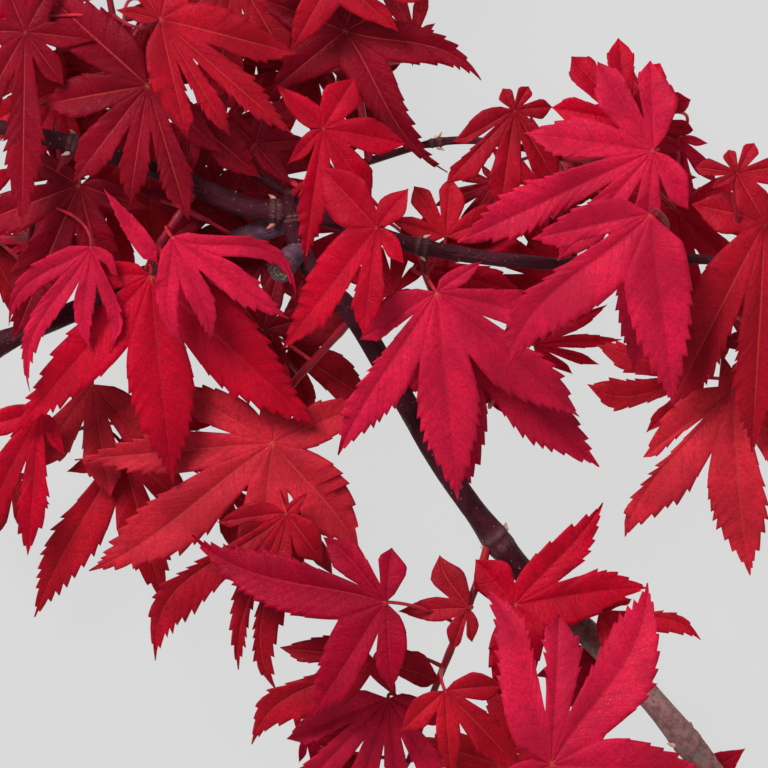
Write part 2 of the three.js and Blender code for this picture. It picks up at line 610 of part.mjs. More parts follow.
const stems = Object.fromEntries(Object.entries(SPRAYS).map(([name, spray]) => [name, curveOf(spray.stem)]));
const leaves = {};
let leafSeed = 500;
for (const [name, spray] of Object.entries(SPRAYS)) {
  leaves[name] = spray.leaves.map((row) => leafOf(row, leafSeed++));
}
const measured = Object.values(leaves).flat();
const taken = measured.flatMap(samplesOf);
for (const [name, spray] of Object.entries(SPRAYS)) {
  const draw = drawer(spray.seed);
  let left = spray.grown;
  for (let attempt = 0; attempt < ATTEMPTS && left > 0; attempt++) {
    const foot = Boolean(spray.foot) && left === spray.grown;
    const leaf = drawLeaf(stems[name], draw, foot, leafSeed);
    if (!hasRoom(leaf, measured, taken)) continue;
    leafSeed++;
    left--;
    leaves[name].push(leaf);
    taken.push(...samplesOf(leaf));
  }
}

// A spray: its stem, stalks and blades fused, and cut clear of every limb.
function spraySolid(name) {
  const spray = SPRAYS[name];
  const [thick, thin] = spray.stem_radius ?? STEM_RADIUS;
  let solid = tube(stems[name], (share) => mix(thick, thin, share), TWIG_SIDES, TWIG_STEPS);
  for (const leaf of leaves[name]) {
    const stalk = stalkCurve(leaf, stems[name]);
    solid = solid.add(tube(stalk, () => STALK_RADIUS, TWIG_SIDES, STALK_STEPS)).add(bladeSolid(leaf));
  }
  for (const limb of Object.keys(LIMBS)) solid = solid.subtract(limbSolid(limb, GAP));
  return solid.subtract(stubSolid(GAP));
}

// The limbs, each cut clear of the ones made before it.
const solids = new Map();
solids.set('main_stem', limbSolid('main_stem').add(stubSolid()));
for (const name of Object.keys(LIMBS).slice(1)) {
  let solid = limbSolid(name).subtract(stubSolid(GAP));
  for (const earlier of Object.keys(LIMBS)) {
    if (earlier === name) break;
    solid = solid.subtract(limbSolid(earlier, GAP));
  }
  solids.set(name, solid);
}
for (const name of Object.keys(SPRAYS)) solids.set(name, spraySolid(name));

// The largest body of a solid, without the crumbs that a cut leaves.
function mainBody(solid) {
  return solid.decompose().sort((a, b) => b.volume() - a.volume())[0];
}

function meshOf(name, solid, finish) {
  const made = mainBody(solid).getMesh();
  const geometry = new THREE.BufferGeometry();
  geometry.setAttribute('position', new THREE.BufferAttribute(new Float32Array(made.vertProperties), 3));
  geometry.setIndex(new THREE.BufferAttribute(new Uint32Array(made.triVerts), 1));
  geometry.computeVertexNormals();
  const mesh = new THREE.Mesh(geometry, new THREE.MeshStandardMaterial({ ...FINISHES[finish], metalness: 0 }));
  mesh.name = name;
  return mesh;
}

const branch = new THREE.Group();
for (const [name, solid] of solids) {
  branch.add(meshOf(name, solid, LIMBS[name]?.finish ?? leaves[name][0].finish));
}
branch.position.set(-CENTRE[0], -CENTRE[1], 0);

export default branch;
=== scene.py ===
"""A cut branch of Japanese maple in red leaf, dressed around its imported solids."""

import functools
import json
import math
from types import SimpleNamespace

import bpy
import numpy as np
from bpy.props import FloatProperty, FloatVectorProperty, IntProperty, PointerProperty
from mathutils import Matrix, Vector, noise

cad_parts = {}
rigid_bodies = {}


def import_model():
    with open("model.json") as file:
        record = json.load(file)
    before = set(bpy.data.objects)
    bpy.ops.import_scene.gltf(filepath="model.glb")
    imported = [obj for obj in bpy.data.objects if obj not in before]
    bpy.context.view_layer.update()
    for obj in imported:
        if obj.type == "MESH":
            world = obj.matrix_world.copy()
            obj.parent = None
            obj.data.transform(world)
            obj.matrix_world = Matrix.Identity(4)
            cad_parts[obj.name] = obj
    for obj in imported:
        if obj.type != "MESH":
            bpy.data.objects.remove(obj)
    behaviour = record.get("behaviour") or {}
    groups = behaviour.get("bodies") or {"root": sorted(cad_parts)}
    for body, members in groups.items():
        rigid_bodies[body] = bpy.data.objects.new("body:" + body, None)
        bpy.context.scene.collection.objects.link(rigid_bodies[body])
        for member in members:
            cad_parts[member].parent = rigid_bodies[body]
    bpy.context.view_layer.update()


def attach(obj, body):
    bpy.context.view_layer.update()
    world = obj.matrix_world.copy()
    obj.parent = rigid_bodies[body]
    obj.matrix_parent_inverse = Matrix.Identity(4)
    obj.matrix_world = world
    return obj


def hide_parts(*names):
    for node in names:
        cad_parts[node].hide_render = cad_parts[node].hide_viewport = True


bl_info = {
    "name": "Red Maple Branch",
    "version": (1, 0, 0),
    "blender": (4, 5, 0),
    "location": "3D View > Sidebar > Maple",
    "description": "Grows the bark, stalks and toothed leaves of a cut maple branch",
    "category": "Add Mesh",
}

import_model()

# The branch is laid out in millimetres, as its solids are, and moved by its centre
MM = 0.001
CENTRE = np.array([-1.4, 0.7, 0.0])

# The word that seeded draws are made in, and its step from draw to draw
WORD = 0xFFFFFFFF
WORD_STEP = 0x6D2B79F5

# Sizes that the solids share, in millimetres or as shares
LEAF_THICKNESS = 0.8
LOBE_WIDTH_SHARE = 0.165
SINUS_SHARE = 0.36
WIDEST_SHARE = 0.42
TAPER_POWER = 1.32
OPEN_SINUS_SHARE = 0.16
OPEN_SIDE_DEGREES = 42
SINUS_PLAY = 0.5
FOLD_SLOPE = 0.2
ROLL_SLOPE = 0.22
DROOP_SHARE = 0.09
LEAST_DROOP = 0.5
FOLD_RISE_SHARE = 0.2
ROLL_RISE_SHARE = 0.4
LEAST_SINUS_WIDTH = 0.4
BOW_PEAK = 27 / 4
STALK_BACK_SHARE = 0.35
STALK_SAG_SHARE = 0.15
STEM_RADIUS = (0.9, 0.6)
STEM_PLACES = 12
FIRST_PLACE = 3

# Sizes that the growing rule draws from, and the spaces that it keeps
GROWN_ROOT = (0.3, 1)
GROWN_LENGTH = (20, 32)
GROWN_STALK = (6, 18)
GROWN_DROP = (4, 22)
GROWN_LEAN = (0.05, 0.35)
PALMATE = ((-115, 0.32), (-75, 0.64), (-38, 0.9), (0, 1), (38, 0.9), (75, 0.64), (115, 0.32))
SEEN_HALF_WIDTH = 79
DENSE_ZONES = (
    (-55, 51, 23),
    (-27, 51, 22),
    (-55, 31, 18),
    (-30, 23, 16),
    (-11, 62, 12),
    (47, 51, 12),
    (34, 38, 11),
    (68, 16, 13),
    (58, 36, 13),
)
WHOLE_HALF_WIDTH = 118
BLADE_REACH = 7
BLADE_DROP = 4.5
LIMB_ROOM = 3
LIMB_PLACES = 40
FLOOR = LEAF_THICKNESS / 2
SAMPLE_SHARES = (0.4, 0.75)
NEAR_REACHES = 1.2
ATTEMPTS = 600
FIRST_LEAF_SEED = 500
BLADE_SEED = 9000
ROUTE_STEPS = 200

# A blade's grid: its rows up to the sinus, its columns from margin to margin, the rows of
# one tooth as the share passed and the height reached there, and how teeth, midribs and
# margins run
BASE_ROWS = 8
BASE_SHARES = np.arange(BASE_ROWS + 1) / BASE_ROWS
JUNCTION_ROW = -3
COLUMNS = (-1, -0.82, -0.57, -0.3, -0.08, 0, 0.08, 0.3, 0.57, 0.82, 1)
HIDDEN_COLUMNS = (-1, -0.5, 0, 0.5, 1)
TOOTH_ROWS = ((0, 0), (0.4, 0.42), (0.8, 0.85), (0.97, 1))
MOST_TEETH = 13
HIDDEN_MOST_TEETH = 5
LEAST_TEETH = 3
TOOTH_PLAY = 0.35
TOOTH_SHRINK = 0.4
TOOTH_HEIGHT = (0.55, 1.15)
TOOTHED_LENGTHS = (8, 26)
TOOTH_FADE_IN = (0.1, 0.5)
TOOTH_FADE_OUT = (0.75, 1)
TOOTH_TIP_LOSS = 0.7
LEAST_TIP_WIDTH = 0.02
TOOTH_LEAN = 0.5
CORNER_SHARE = 0.22
CORNER_STEPS = (-1, -0.5, 0, 0.5, 1)
MIDRIB_LAG = 1.3
MIDRIB_START = 0.6
GROOVE_WIDTH = 0.09
EDGE_THINNING = 0.45
WAVED_LENGTH = 35
WAVE_PHASE = 3.4 * math.pi
WAVE_FADE_IN = (0, 0.3)
RIM_MAP = (1.0, 0.5)
GROWN_TINTS = ("wine", "crimson", "brick", "scarlet")

# Where more leaves, behind the others, close the crown: at these places, seen from above,
# and on a grid over the dense zones; and the sizes that those leaves are drawn from
FILLER_STRIDE = 2.5
CLOSED_PLACES = (
    (6, 38), (-74, 75), (-64, 73), (-27, 75), (-74, 30), (-9, 28), (-12, 20), (-3, 20), (4, 27),
    (10, 45), (18, 38), (28, 30), (36, 27), (-37, 8), (-30, 0), (-35, -16), (-38, -26), (-33, -22),
    (-66, -14), (-73, -22), (-56, -30), (-39, -37), (3, 24), (2, 11), (-35, -42), (-62, 14),
    (-34, 2), (26, 21), (-32, -26), (-12, 28), (-62, -14), (4, 75), (28.5, 27), (9, 38.5),
    (3, 22.5), (30, 27), (27, 21), (18, 40), (31, 15), (-14, -73), (46, 2), (-76, 26), (-39, -35),
    (-17, -58), (40, -57), (31.5, -58), (6, -60.5), (-33, -42), (-75, -24.5), (23, -5), (7, 52),
    (-2, -60.5), (-76, 42.5), (-12, -36),
)
FILLER_LENGTH = (14, 28)
FILLER_OFFSET = (2, 13)
FILLER_HEIGHT = (4, 27)
FILLER_REACH = 2.6
FILLER_DROP = 1.6
FILLER_MARGIN = 8
FILLER_EDGE = 1.5
FILLER_TRIES = 150
FILLER_SEED = 7
FILLER_ROOT = 0.6
# The closing leaves' tints, mostly dark ones as painted shade, since these leaves lie behind the others
FILLER_TINTS = ("wine", "russet", "crimson", "russet", "plum")
FIRST_FILLER_SEED = 700

# Limbs: a route, the radius at its start and end, and swollen rings given as
# [share of the route, added radius, half length as a share]
LIMBS = {
    "main_stem": {
        "route": [
            [71.4, -86, 20], [64.8, -76.8, 22], [53.2, -62.8, 25], [39.4, -48.6, 28],
            [26.6, -36.2, 30.5], [14.4, -20.2, 33.5], [5.2, -5.2, 35.5], [-1.8, 6.8, 37],
            [-7, 15, 37.5], [-13.2, 21, 38], [-17, 27.4, 38], [-18.4, 34.6, 38], [-18.8, 38.4, 38.5],
        ],
        "radius": [2.6, 1.9],
        "rings": [[0.36, 0.5, 0.016], [0.9, 0.4, 0.03], [0.119, 0.35, 0.02]],
        "finish": "bark",
    },
    "left_limb": {
        "route": [
            [-18.4, 34.4, 38], [-26.8, 35.2, 38.5], [-36.8, 39.2, 39], [-48.4, 43.8, 39],
            [-59.8, 47.4, 38.5], [-67, 49.2, 37.5], [-76.8, 51.4, 36], [-86, 52.8, 34],
        ],
        "radius": [2.2, 1.4],
        "rings": [[0.06, 0.35, 0.03], [0.62, 0.25, 0.02]],
        "finish": "bark",
    },
    "right_limb": {
        "route": [
            [-17.6, 35, 38], [-7, 32, 38.5], [2, 28.8, 39.5], [11.2, 26.8, 40.5], [19.2, 25.4, 41.5],
            [27.2, 24.6, 43], [36, 24, 44.5], [47.2, 24.4, 46.5], [60, 25, 48.5], [72.4, 24.4, 50],
        ],
        "radius": [1.9, 0.9],
        "rings": [[0.29, 0.3, 0.018], [0.7, 0.25, 0.02]],
        "finish": "bark",
    },
    "lower_left_limb": {
        "route": [
            [-17.8, 33, 36], [-30, 28.8, 31], [-45, 22.4, 27], [-62, 14.8, 24], [-76.8, 8.4, 22],
            [-88, 3.4, 21],
        ],
        "radius": [2.1, 2],
        "rings": [[0.84, 0.7, 0.05]],
        "finish": "old_bark",
    },
    "upper_twig": {
        "route": [
            [-18.8, 37.8, 38.5], [-24.4, 41.2, 39.5], [-30.8, 44.8, 40], [-37, 49.4, 40],
            [-43, 54.6, 40],
        ],
        "radius": [1, 0.8],
        "rings": [[0.5, 0.15, 0.04]],
        "finish": "bark",
    },
    "far_twig": {
        "route": [
            [-18, 38.4, 37.5], [-10, 42, 33], [-3, 44.8, 30], [9.4, 48.4, 29.5], [18.8, 48.8, 32],
            [29, 47.2, 36],
        ],
        "radius": [0.9, 0.65],
        "rings": [[0.62, 0.15, 0.03]],
        "finish": "bark",
    },
}

# Sprays: the route of each one's stem, the seed and number of the leaves that the rule
# adds, whether the first of those stands on the floor, and the leaves as measured. A leaf
# is [tint, x, y, height of its vein junction, slope away from its stalk, lobes], whose tint also
# paints some of the light or shade that the leaf lies in, and a lobe [azimuth, length, half
# width, bow], where no half width means the usual one
SPRAYS = {
    "upper_left_leaves": {
        "stem": [[-42.4, 54, 40], [-47, 58, 41.5], [-52, 66, 45], [-55, 78, 50], [-56, 90, 54]],
        "seed": 17,
        "grown": 6,
        "leaves": [
            ["wine", -71.6, 70.2, 52, 0.1, [
                [60, 13], [112, 15], [178, 14], [241, 22], [269, 39, 4.6], [306, 13, 3], [354, 14],
            ]],
            ["wine", -47.2, 59.6, 49, 0.05, [
                [138, 30, 5.6], [190, 22, 4.6], [232, 24, 5.4], [261, 24, 4], [287, 28, 4.8], [318, 20],
            ]],
            ["brick", -44.6, 72.6, 60, 0.1, [
                [74, 18], [121, 18], [168, 9], [283, 24, 4.6], [301, 27, 3.8], [319, 35, 3.6],
                [346, 28, 5],
            ]],
            ["wine", -38.2, 53, 44.5, 0.1, [[35, 10], [147, 8], [265, 12], [319, 18, 3.8]]],
        ],
    },
    "left_leaves": {
        "stem": [[-62, 47.8, 38], [-66, 42, 35], [-70, 34, 32], [-72, 24, 30]],
        "seed": 23,
        "grown": 3,
        "leaves": [
            ["wine", -61.2, 40, 36, 0.1, [
                [150, 14], [201, 26], [247, 34, 6.4], [284, 24, 5], [341, 15],
            ]],
            ["rose", -58.6, 27.6, 44, 0.1, [
                [224, 23, 2.6, -3.5], [247, 31.6, 2.3, -3.8], [270, 21, 2, -1.6], [279, 21, 2.3, 3.2],
                [312, 8, 2],
            ]],
        ],
    },
    "left_tip_leaves": {
        "stem": [[-85.4, 52.8, 34], [-90, 53, 34], [-95, 50, 33], [-99, 44, 31]],
        "seed": 37,
        "grown": 4,
        "foot": True,
        "leaves": [],
    },
    "hanging_leaves": {
        "stem": [[-37.4, 39.4, 39], [-41, 34, 41], [-45, 28, 40], [-47.6, 23, 37]],
        "seed": 41,
        "grown": 3,
        "leaves": [
            ["crimson", -46.8, 21.8, 40, 0.1, [
                [180, 16], [229, 43, 5], [276, 42, 6.2], [317.5, 45, 6.9],
            ]],
            ["rose", -42.4, 29.4, 51, 0.1, [
                [278, 22.5, 2.3, -3], [290, 22.8, 2.7, 1.4], [325, 28.5, 3.2, -0.5],
                [329, 28.9, 2.1, 7.6],
            ]],
            ["rose", -45.4, 24.4, 47, -0.2, [[126, 18, 1.8]]],
            ["wine", -35, 35, 30, 0, [[8, 15], [55, 13], [110, 14], [165, 15], [215, 12], [320, 12]]],
        ],
    },
    "lower_left_leaves": {
        "stem": [[-58, 16.4, 25], [-59, 9, 24], [-60, 0, 21], [-58, -8, 18]],
        "seed": 53,
        "grown": 1,
        "leaves": [
            ["ember", -58.8, 0, 24, 0.1, [[192, 11], [235, 21, 5.2], [279, 23, 5.4], [312, 21, 4.4]]],
            ["crimson", -69.2, -5.6, 28, 0.1, [[195, 16], [243, 28, 5], [265, 29, 4.2], [300, 10]]],
            ["scarlet", -52.8, -13.6, 18, 0.1, [
                [200, 12], [242, 38, 5.2, -0.8], [285, 31, 5], [320, 22],
            ]],
        ],
    },
    "lower_left_tip_leaves": {
        "stem": [[-87, 3.6, 21], [-92, 1, 21], [-97, -4, 20]],
        "seed": 67,
        "grown": 3,
        "foot": True,
        "leaves": [],
    },
    "lower_middle_leaves": {
        "stem": [[-6, 13.6, 37], [-12, 7, 30], [-19, -1, 27], [-23, -10, 27], [-21, -20, 28]],
        "seed": 71,
        "grown": 1,
        "leaves": [
            ["ember", -22.4, -11.8, 31, 0.05, [
                [23, 22, 4], [81, 17], [150, 24, 4.4], [185, 40, 4], [215, 45, 6.8, 1.5], [264, 27, 6],
                [309, 27.5, 6.2, 0.8],
            ]],
            ["brick", -19.6, -25.8, 37, 0.1, [
                [43, 6], [188, 14, 3], [228.5, 39.7, 6.4, -6.2], [253, 33, 3, -2.2], [267, 36, 4.8, -4],
                [306, 12.4, 3.6],
            ]],
            ["russet", -19.2, 7.2, 22, 0.1, [[37, 17, 3.4], [79, 14], [287, 16], [327, 20, 4.6]]],
            ["wine", -24.4, 10.8, 29.5, 0.05, [
                [15, 11, 3], [75, 14], [130, 20], [180, 16], [238, 12], [300, 12],
            ]],
        ],
    },
    "fork_leaves": {
        "stem": [[-18.8, 37.4, 38.5], [-16, 40, 42], [-12, 42, 44.5], [-8, 42.5, 46]],
        "seed": 89,
        "grown": 2,
        "leaves": [
            ["crimson", -12.2, 51, 50, 0.1, [
                [58, 12, 4.4], [137, 13], [225, 10], [262, 27, 3.2], [305, 17, 4.4], [350, 17, 4],
            ]],
            ["crimson", -1.4, 31.2, 56, 0.1, [
                [51, 10, 2.8], [133, 17, 5], [232, 31, 5], [263, 22, 4], [307, 9, 2],
            ]],
            ["wine", -25.8, 48, 42.2, 0.1, [[5, 11], [74, 10], [136, 10], [311, 11]]],
        ],
    },
    "top_leaves": {
        "stem": [[-3, 44.8, 30], [-4, 52, 31], [-6, 64, 33], [-8, 78, 37], [-9, 90, 42]],
        "seed": 97,
        "grown": 4,
        "foot": True,
        "leaves": [
            ["wine", -7.8, 70.8, 38, 0.1, [
                [72, 18], [159, 20], [219, 20], [306, 35, 3.2, -2.6], [340, 29, 3.6, 3],
            ]],
            ["brick", -9.8, 81.8, 48, 0.1, [[86, 18], [183, 20], [240, 18], [318, 17], [346, 20]]],
            ["russet", -30, 83, 36, 0.05, [
                [60, 13], [110, 14], [180, 15], [222, 23, 5.6], [262, 27, 6.6], [300, 22, 5.8],
                [345, 14],
            ]],
        ],
    },
    "centre_leaves": {
        "stem": [[8.6, 27.4, 40], [8.4, 22, 36], [12, 16, 32], [20, 11, 29], [27, 8.6, 27]],
        "seed": 101,
        "grown": 1,
        "leaves": [
            ["rose", 10.4, 18.4, 49, 0.08, [
                [34, 11], [212, 18, 4.4], [239, 38, 5.6, -0.8], [276, 42, 6.2], [319, 38, 6.2],
                [347, 29, 4.6],
            ]],
            ["rose", 14.4, 11.2, 38, 0.1, [[232, 18], [274, 33, 5], [316, 40, 6.8]]],
            ["scarlet", 12.4, 29.6, 33, 0, [[20, 18, 3.6], [85, 12, 3.6], [122, 12, 4], [163, 12]]],
            ["crimson", 6.4, 24, 30.5, 0, [[75, 12], [110, 9], [345, 22, 4.4], [20, 25, 4.6]]],
            ["crimson", 30, 8, 27, 0.05, [[323, 10, 1.5], [343, 14, 1.5], [3, 18, 1.5], [28, 17, 1.8]]],
        ],
    },
    "upper_right_leaves": {
        "stem": [[28.4, 47.4, 36], [34, 45.6, 40], [42, 45, 46], [50, 46, 53]],
        "seed": 113,
        "grown": 2,
        "leaves": [
            ["rose", 53.6, 46.4, 61, 0.08, [
                [92, 18, 5.6], [122, 21, 5.2], [172, 26, 4.8], [205, 43, 6.4], [229, 29, 6],
                [265, 16, 4], [301, 13.6, 3.6],
            ]],
            ["brick", 26.2, 54.8, 45, 0.08, [
                [5, 7.5, 3], [60, 5.5, 3], [120, 5, 2.6], [207, 14, 3.2, 0.5], [227, 20, 5],
                [262, 20, 5], [300, 17, 4.6],
            ]],
            ["crimson", 48.8, 52.2, 54.5, 0.06, [
                [20, 13.2, 5], [62, 13.4, 6], [97, 17, 5.2], [131, 17.4, 6.4], [169, 15.7, 4.4],
                [332, 12.3, 4], [353, 13, 5.4],
            ]],
        ],
    },
    "front_right_leaves": {
        "stem": [[54.6, 24.8, 47.6], [56, 28, 54], [56, 32, 62], [54.6, 34, 67]],
        "seed": 127,
        "grown": 0,
        "leaves": [
            ["rose", 52.8, 33.8, 72, 0.12, [[192, 24, 4.6], [227, 42, 7.2, -3.6], [277, 39, 5.8]]],
            ["rose", 53.6, 30, 58, 0.15, [[262, 28, 5.4]]],
        ],
    },
    "right_leaves": {
        "stem": [[72, 24.4, 50], [77, 22, 51], [81, 14, 49], [82, 4, 45], [80, -8, 42]],
        "seed": 131,
        "grown": 3,
        "foot": True,
        "leaves": [
            ["brick", 75.8, 32.4, 63, 0.1, [[167, 15, 4.4], [243, 42, 6.8], [267, 46, 6.2], [312, 30]]],
            ["ember", 69.4, -1.4, 52, 0.08, [
                [106, 8], [217, 22, 5], [234, 36, 6.9, -2.2], [276, 37, 6.2, -0.6], [312, 28, 5],
            ]],
            ["scarlet", 64.2, 1.2, 42, 0.05, [
                [144, 14], [163, 22.5, 4.4], [183, 23.5, 6, 3], [223, 16],
            ]],
            ["brick", 70, 41.8, 70, 0.1, [
                [9, 14, 5], [60, 7, 3.6], [110, 5, 3], [172, 8.4, 3.6], [211, 6], [300, 12, 3.6],
            ]],
        ],
    },
    "shoot_leaves": {
        "stem": [
            [21.2, -31, 31.5], [19, -39, 35], [16.6, -45.2, 36.5], [13.6, -52.8, 34.5], [8.4, -66, 26],
            [5, -76, 23],
        ],
        "stem_radius": [0.9, 0.65],
        "seed": 149,
        "grown": 1,
        "leaves": [
            ["plum", 0.4, -43.6, 48, 0.06, [
                [84, 11, 4.4], [134, 18, 4.2, -0.8], [161, 41, 5.8, 3.2], [237, 29, 4.6],
                [274, 18, 3.6],
            ]],
            ["brick", -2, -55.2, 36, 0.08, [
                [173, 19, 3.6], [215, 30, 6, -3.6], [300, 9], [342, 14, 5],
            ]],
            ["rose", 0.8, -63.2, 28, 0.08, [
                [202, 22, 5.4], [226, 29, 6.2], [254, 27, 5.4], [276, 26, 4.2], [301, 23, 4], [338, 14],
            ]],
            ["scarlet", 12.2, -61.4, 41, 0.08, [
                [223, 12, 3], [274, 20, 2.2], [314, 23, 4], [5, 12, 3.4],
            ]],
            ["russet", 16.8, -44.8, 42, 0.05, [
                [118, 12, 4, 1], [183, 14, 2.4], [249, 9, 2.6], [277, 7, 1.8],
            ]],
            ["crimson", 26.2, -44.2, 38, 0.03, [
                [7, 27, 5, 0.5], [49, 27, 3.8, -0.8], [131, 12, 4.8], [268, 23, 4.8],
            ]],
        ],
    },
    "lower_right_leaves": {
        "stem": [[65.4, -77.6, 22], [58, -82, 26], [47, -86, 34], [38, -84, 42], [34, -80, 47]],
        "seed": 163,
        "grown": 3,
        "foot": True,
        "leaves": [
            ["rose", 33.4, -76, 52, 0.08, [
                [62, 41, 7.6, -3.4], [87, 30, 8], [111, 38, 5.8, -2.4], [204, 18], [276, 18],
                [357, 32, 5.4],
            ]],
            ["scarlet", 43.2, -45.6, 32.5, 0.05, [[300, 12, 3], [344, 21.3, 3.4, 2.2], [20, 7, 2]]],
            ["crimson", 61.2, -81.2, 19, 0.05, [[33, 14, 3], [231, 14], [310, 16]]],
        ],
    },
}

# The pruned stub on the main stem, from its root to its flat cut
STUB = {
    "route": [[-17, 26.6, 38.4], [-19, 25, 41.2], [-20.9, 22.6, 45.4]],
    "radius": [2.2, 2.4],
    "rings": [[0.85, 0.25, 0.2]],
}


# Small helpers
def mix(a, b, share):
    return a + (b - a) * share


def smooth(value):
    return value * value * (3 - 2 * value)


def ramp(low, high, value):
    return smooth(np.clip((value - low) / (high - low), 0, 1))


def drawer(seed):
    """A stream of even numbers from 0 to 1 that is the same for the same seed."""
    state = seed & WORD

    def draw():
        nonlocal state
        state = (state + WORD_STEP) & WORD
        word = ((state ^ (state >> 15)) * (state | 1)) & WORD
        word ^= (word + (word ^ (word >> 7)) * (word | 61)) & WORD
        return ((word ^ (word >> 14)) & WORD) / (WORD + 1)

    return draw


class Route:
    """A smooth curve through the points of a route."""

    def __init__(self, points):
        inner = [np.array(point, float) for point in points]
        self.points = [2 * inner[0] - inner[1], *inner, 2 * inner[-1] - inner[-2]]

    def at(self, share):
        place = (len(self.points) - 3) * share
        first = min(int(place), len(self.points) - 4)
        step = place - first
        before, start, end, after = self.points[first : first + 4]
        leaving = 0.5 * (end - before)
        arriving = 0.5 * (after - start)
        square = -3 * start + 3 * end - 2 * leaving - arriving
        cube = 2 * start - 2 * end + leaving + arriving
        return start + leaving * step + square * step**2 + cube * step**3

    def tangent(self, share):
        ahead = self.at(min(1, share + 1e-4))
        behind = self.at(max(0, share - 1e-4))
        return (ahead - behind) / np.linalg.norm(ahead - behind)

    def length(self):
        places = [self.at(step / ROUTE_STEPS) for step in range(ROUTE_STEPS + 1)]
        return sum(np.linalg.norm(b - a) for a, b in zip(places, places[1:]))


def limb_radius(limb, share):
    """The radius along a limb: an even taper with its swollen rings."""
    radius = mix(limb["radius"][0], limb["radius"][1], share)
    for place, swell, half in limb["rings"]:
        away = np.clip(abs(share - place) / (2 * half), 0, 1)
        radius += swell * (1 - smooth(away))
    return radius


# The rule that the leaves grow by
def bow_at(bow, length, along):
    """How far a curved lobe's midrib stands off the straight line to its tip."""
    share = np.clip(along / length, 0, 1)
    return BOW_PEAK * bow * share * share * (1 - share)


def open_side(lobe):
    """The side of an end lobe that no other lobe joins."""
    slope = math.tan(math.radians(OPEN_SIDE_DEGREES))
    along = min(OPEN_SINUS_SHARE * lobe.length, lobe.half / slope)
    return SimpleNamespace(along=along, across=along * slope, slope=slope, drift=0)


def join_lobes(a, b):
    """Gives a lobe and the next one to its left their two sides of a sinus."""
    half = math.radians(((b.azimuth - a.azimuth + 360) % 360) / 2)
    radius = SINUS_SHARE * min(a.length, b.length)
    bow_a = float(bow_at(a.bow, a.length, radius))
    bow_b = float(bow_at(b.bow, b.length, radius))
    middle = (bow_a + bow_b) / 2
    lift = middle * math.sin(half)
    reach = radius * math.cos(half)
    spread = radius * math.sin(half)

    def side_of(along, across):
        width = max(LEAST_SINUS_WIDTH, across)
        drift = (b.bow - a.bow) / 2
        return SimpleNamespace(along=along, across=width, slope=math.tan(half), drift=drift)

    a.left = side_of(reach - lift, spread + middle * math.cos(half) - bow_a)
    b.right = side_of(reach + lift, spread - middle * math.cos(half) + bow_b)


def leaf_of(row, seed):
    """A leaf from its row, with its lobes in turn from one side of the stalk to the other."""
    tint, x, y, z, lean, sizes = row
    draw = drawer(seed)
    lobes = []
    for azimuth, length, *rest in sizes:
        half = rest[0] if rest and rest[0] else LOBE_WIDTH_SHARE * length
        bow = rest[1] if len(rest) > 1 else 0
        lobes.append(SimpleNamespace(azimuth=azimuth, length=length, half=half, bow=bow))
    lobes.sort(key=lambda lobe: lobe.azimuth)
    ends = [lobe.azimuth for lobe in lobes[1:]] + [lobes[0].azimuth + 360]
    gaps = [end - lobe.azimuth for lobe, end in zip(lobes, ends)]
    widest = gaps.index(max(gaps))
    turned = lobes[widest + 1 :] + lobes[: widest + 1]
    for lobe in turned:
        lobe.roll = ROLL_SLOPE * (2 * draw() - 1)
        lobe.droop = DROOP_SHARE * (LEAST_DROOP + draw())
        lobe.right = open_side(lobe)
        lobe.left = open_side(lobe)
    for a, b in zip(turned, turned[1:]):
        join_lobes(a, b)
    for lobe in turned:
        lobe.free = max(lobe.left.along, lobe.right.along)
    return SimpleNamespace(
        tint=tint,
        x=x,
        y=y,
        z=z,
        lean=lean,
        seed=seed,
        reach=max(lobe.length for lobe in lobes),
        stalk_azimuth=lobes[widest].azimuth + gaps[widest] / 2,
        lobes=turned,
    )


def half_width(lobe, side, along):
    """The half width of one side of a lobe, at distances from the vein junction."""
    near = side.across * along / side.along
    share = np.clip((along - side.along) / (lobe.length - side.along), 0, 1)
    swell = (lobe.half / (1 - WIDEST_SHARE) ** TAPER_POWER - side.across) / WIDEST_SHARE
    free = (1 - share) ** TAPER_POWER * (side.across + swell * share)
    drift = bow_at(side.drift, lobe.length, along) - bow_at(side.drift, lobe.length, side.along)
    sinus = side.across + SINUS_PLAY * (along - side.along) * side.slope + drift
    return np.where(along <= side.along, near, np.minimum(free, sinus))


def on_leaf(leaf, lobe, along, across):
    """Places of a leaf, from distances along and across one lobe's midrib."""
    turn = math.radians(lobe.azimuth)
    off = across + bow_at(lobe.bow, lobe.length, along)
    dx = along * math.cos(turn) - off * math.sin(turn)
    dy = along * math.sin(turn) + off * math.cos(turn)
    back = math.radians(leaf.stalk_azimuth)
    past = np.clip((along - lobe.free) / (lobe.length - lobe.free), 0, 1)
    rise = (
        leaf.lean * (dx * math.cos(back) + dy * math.sin(back))
        + FOLD_SLOPE * np.abs(across) * np.minimum(1, along / (FOLD_RISE_SHARE * leaf.reach))
        + lobe.roll * across * smooth(np.minimum(1, past / ROLL_RISE_SHARE))
        - lobe.droop * lobe.length * past * past
    )
    return np.stack([leaf.x + dx, leaf.y + dy, leaf.z + rise], -1)


def covered(leaf, spots):
    """Which spots a leaf lies over or under, seen from above."""
    under = np.zeros(len(spots), bool)
    dx = spots[:, 0] - leaf.x
    dy = spots[:, 1] - leaf.y
    if np.hypot(dx, dy).min() > NEAR_REACHES * leaf.reach:
        return under
    for lobe in leaf.lobes:
        turn = math.radians(lobe.azimuth)
        along = dx * math.cos(turn) + dy * math.sin(turn)
        inside = (along >= 0) & (along <= lobe.length)
        along = np.clip(along, 0, lobe.length)
        across = dy * math.cos(turn) - dx * math.sin(turn) - bow_at(lobe.bow, lobe.length, along)
        inside &= across < half_width(lobe, lobe.left, along)
        inside &= -across < half_width(lobe, lobe.right, along)
        under |= inside
    return under


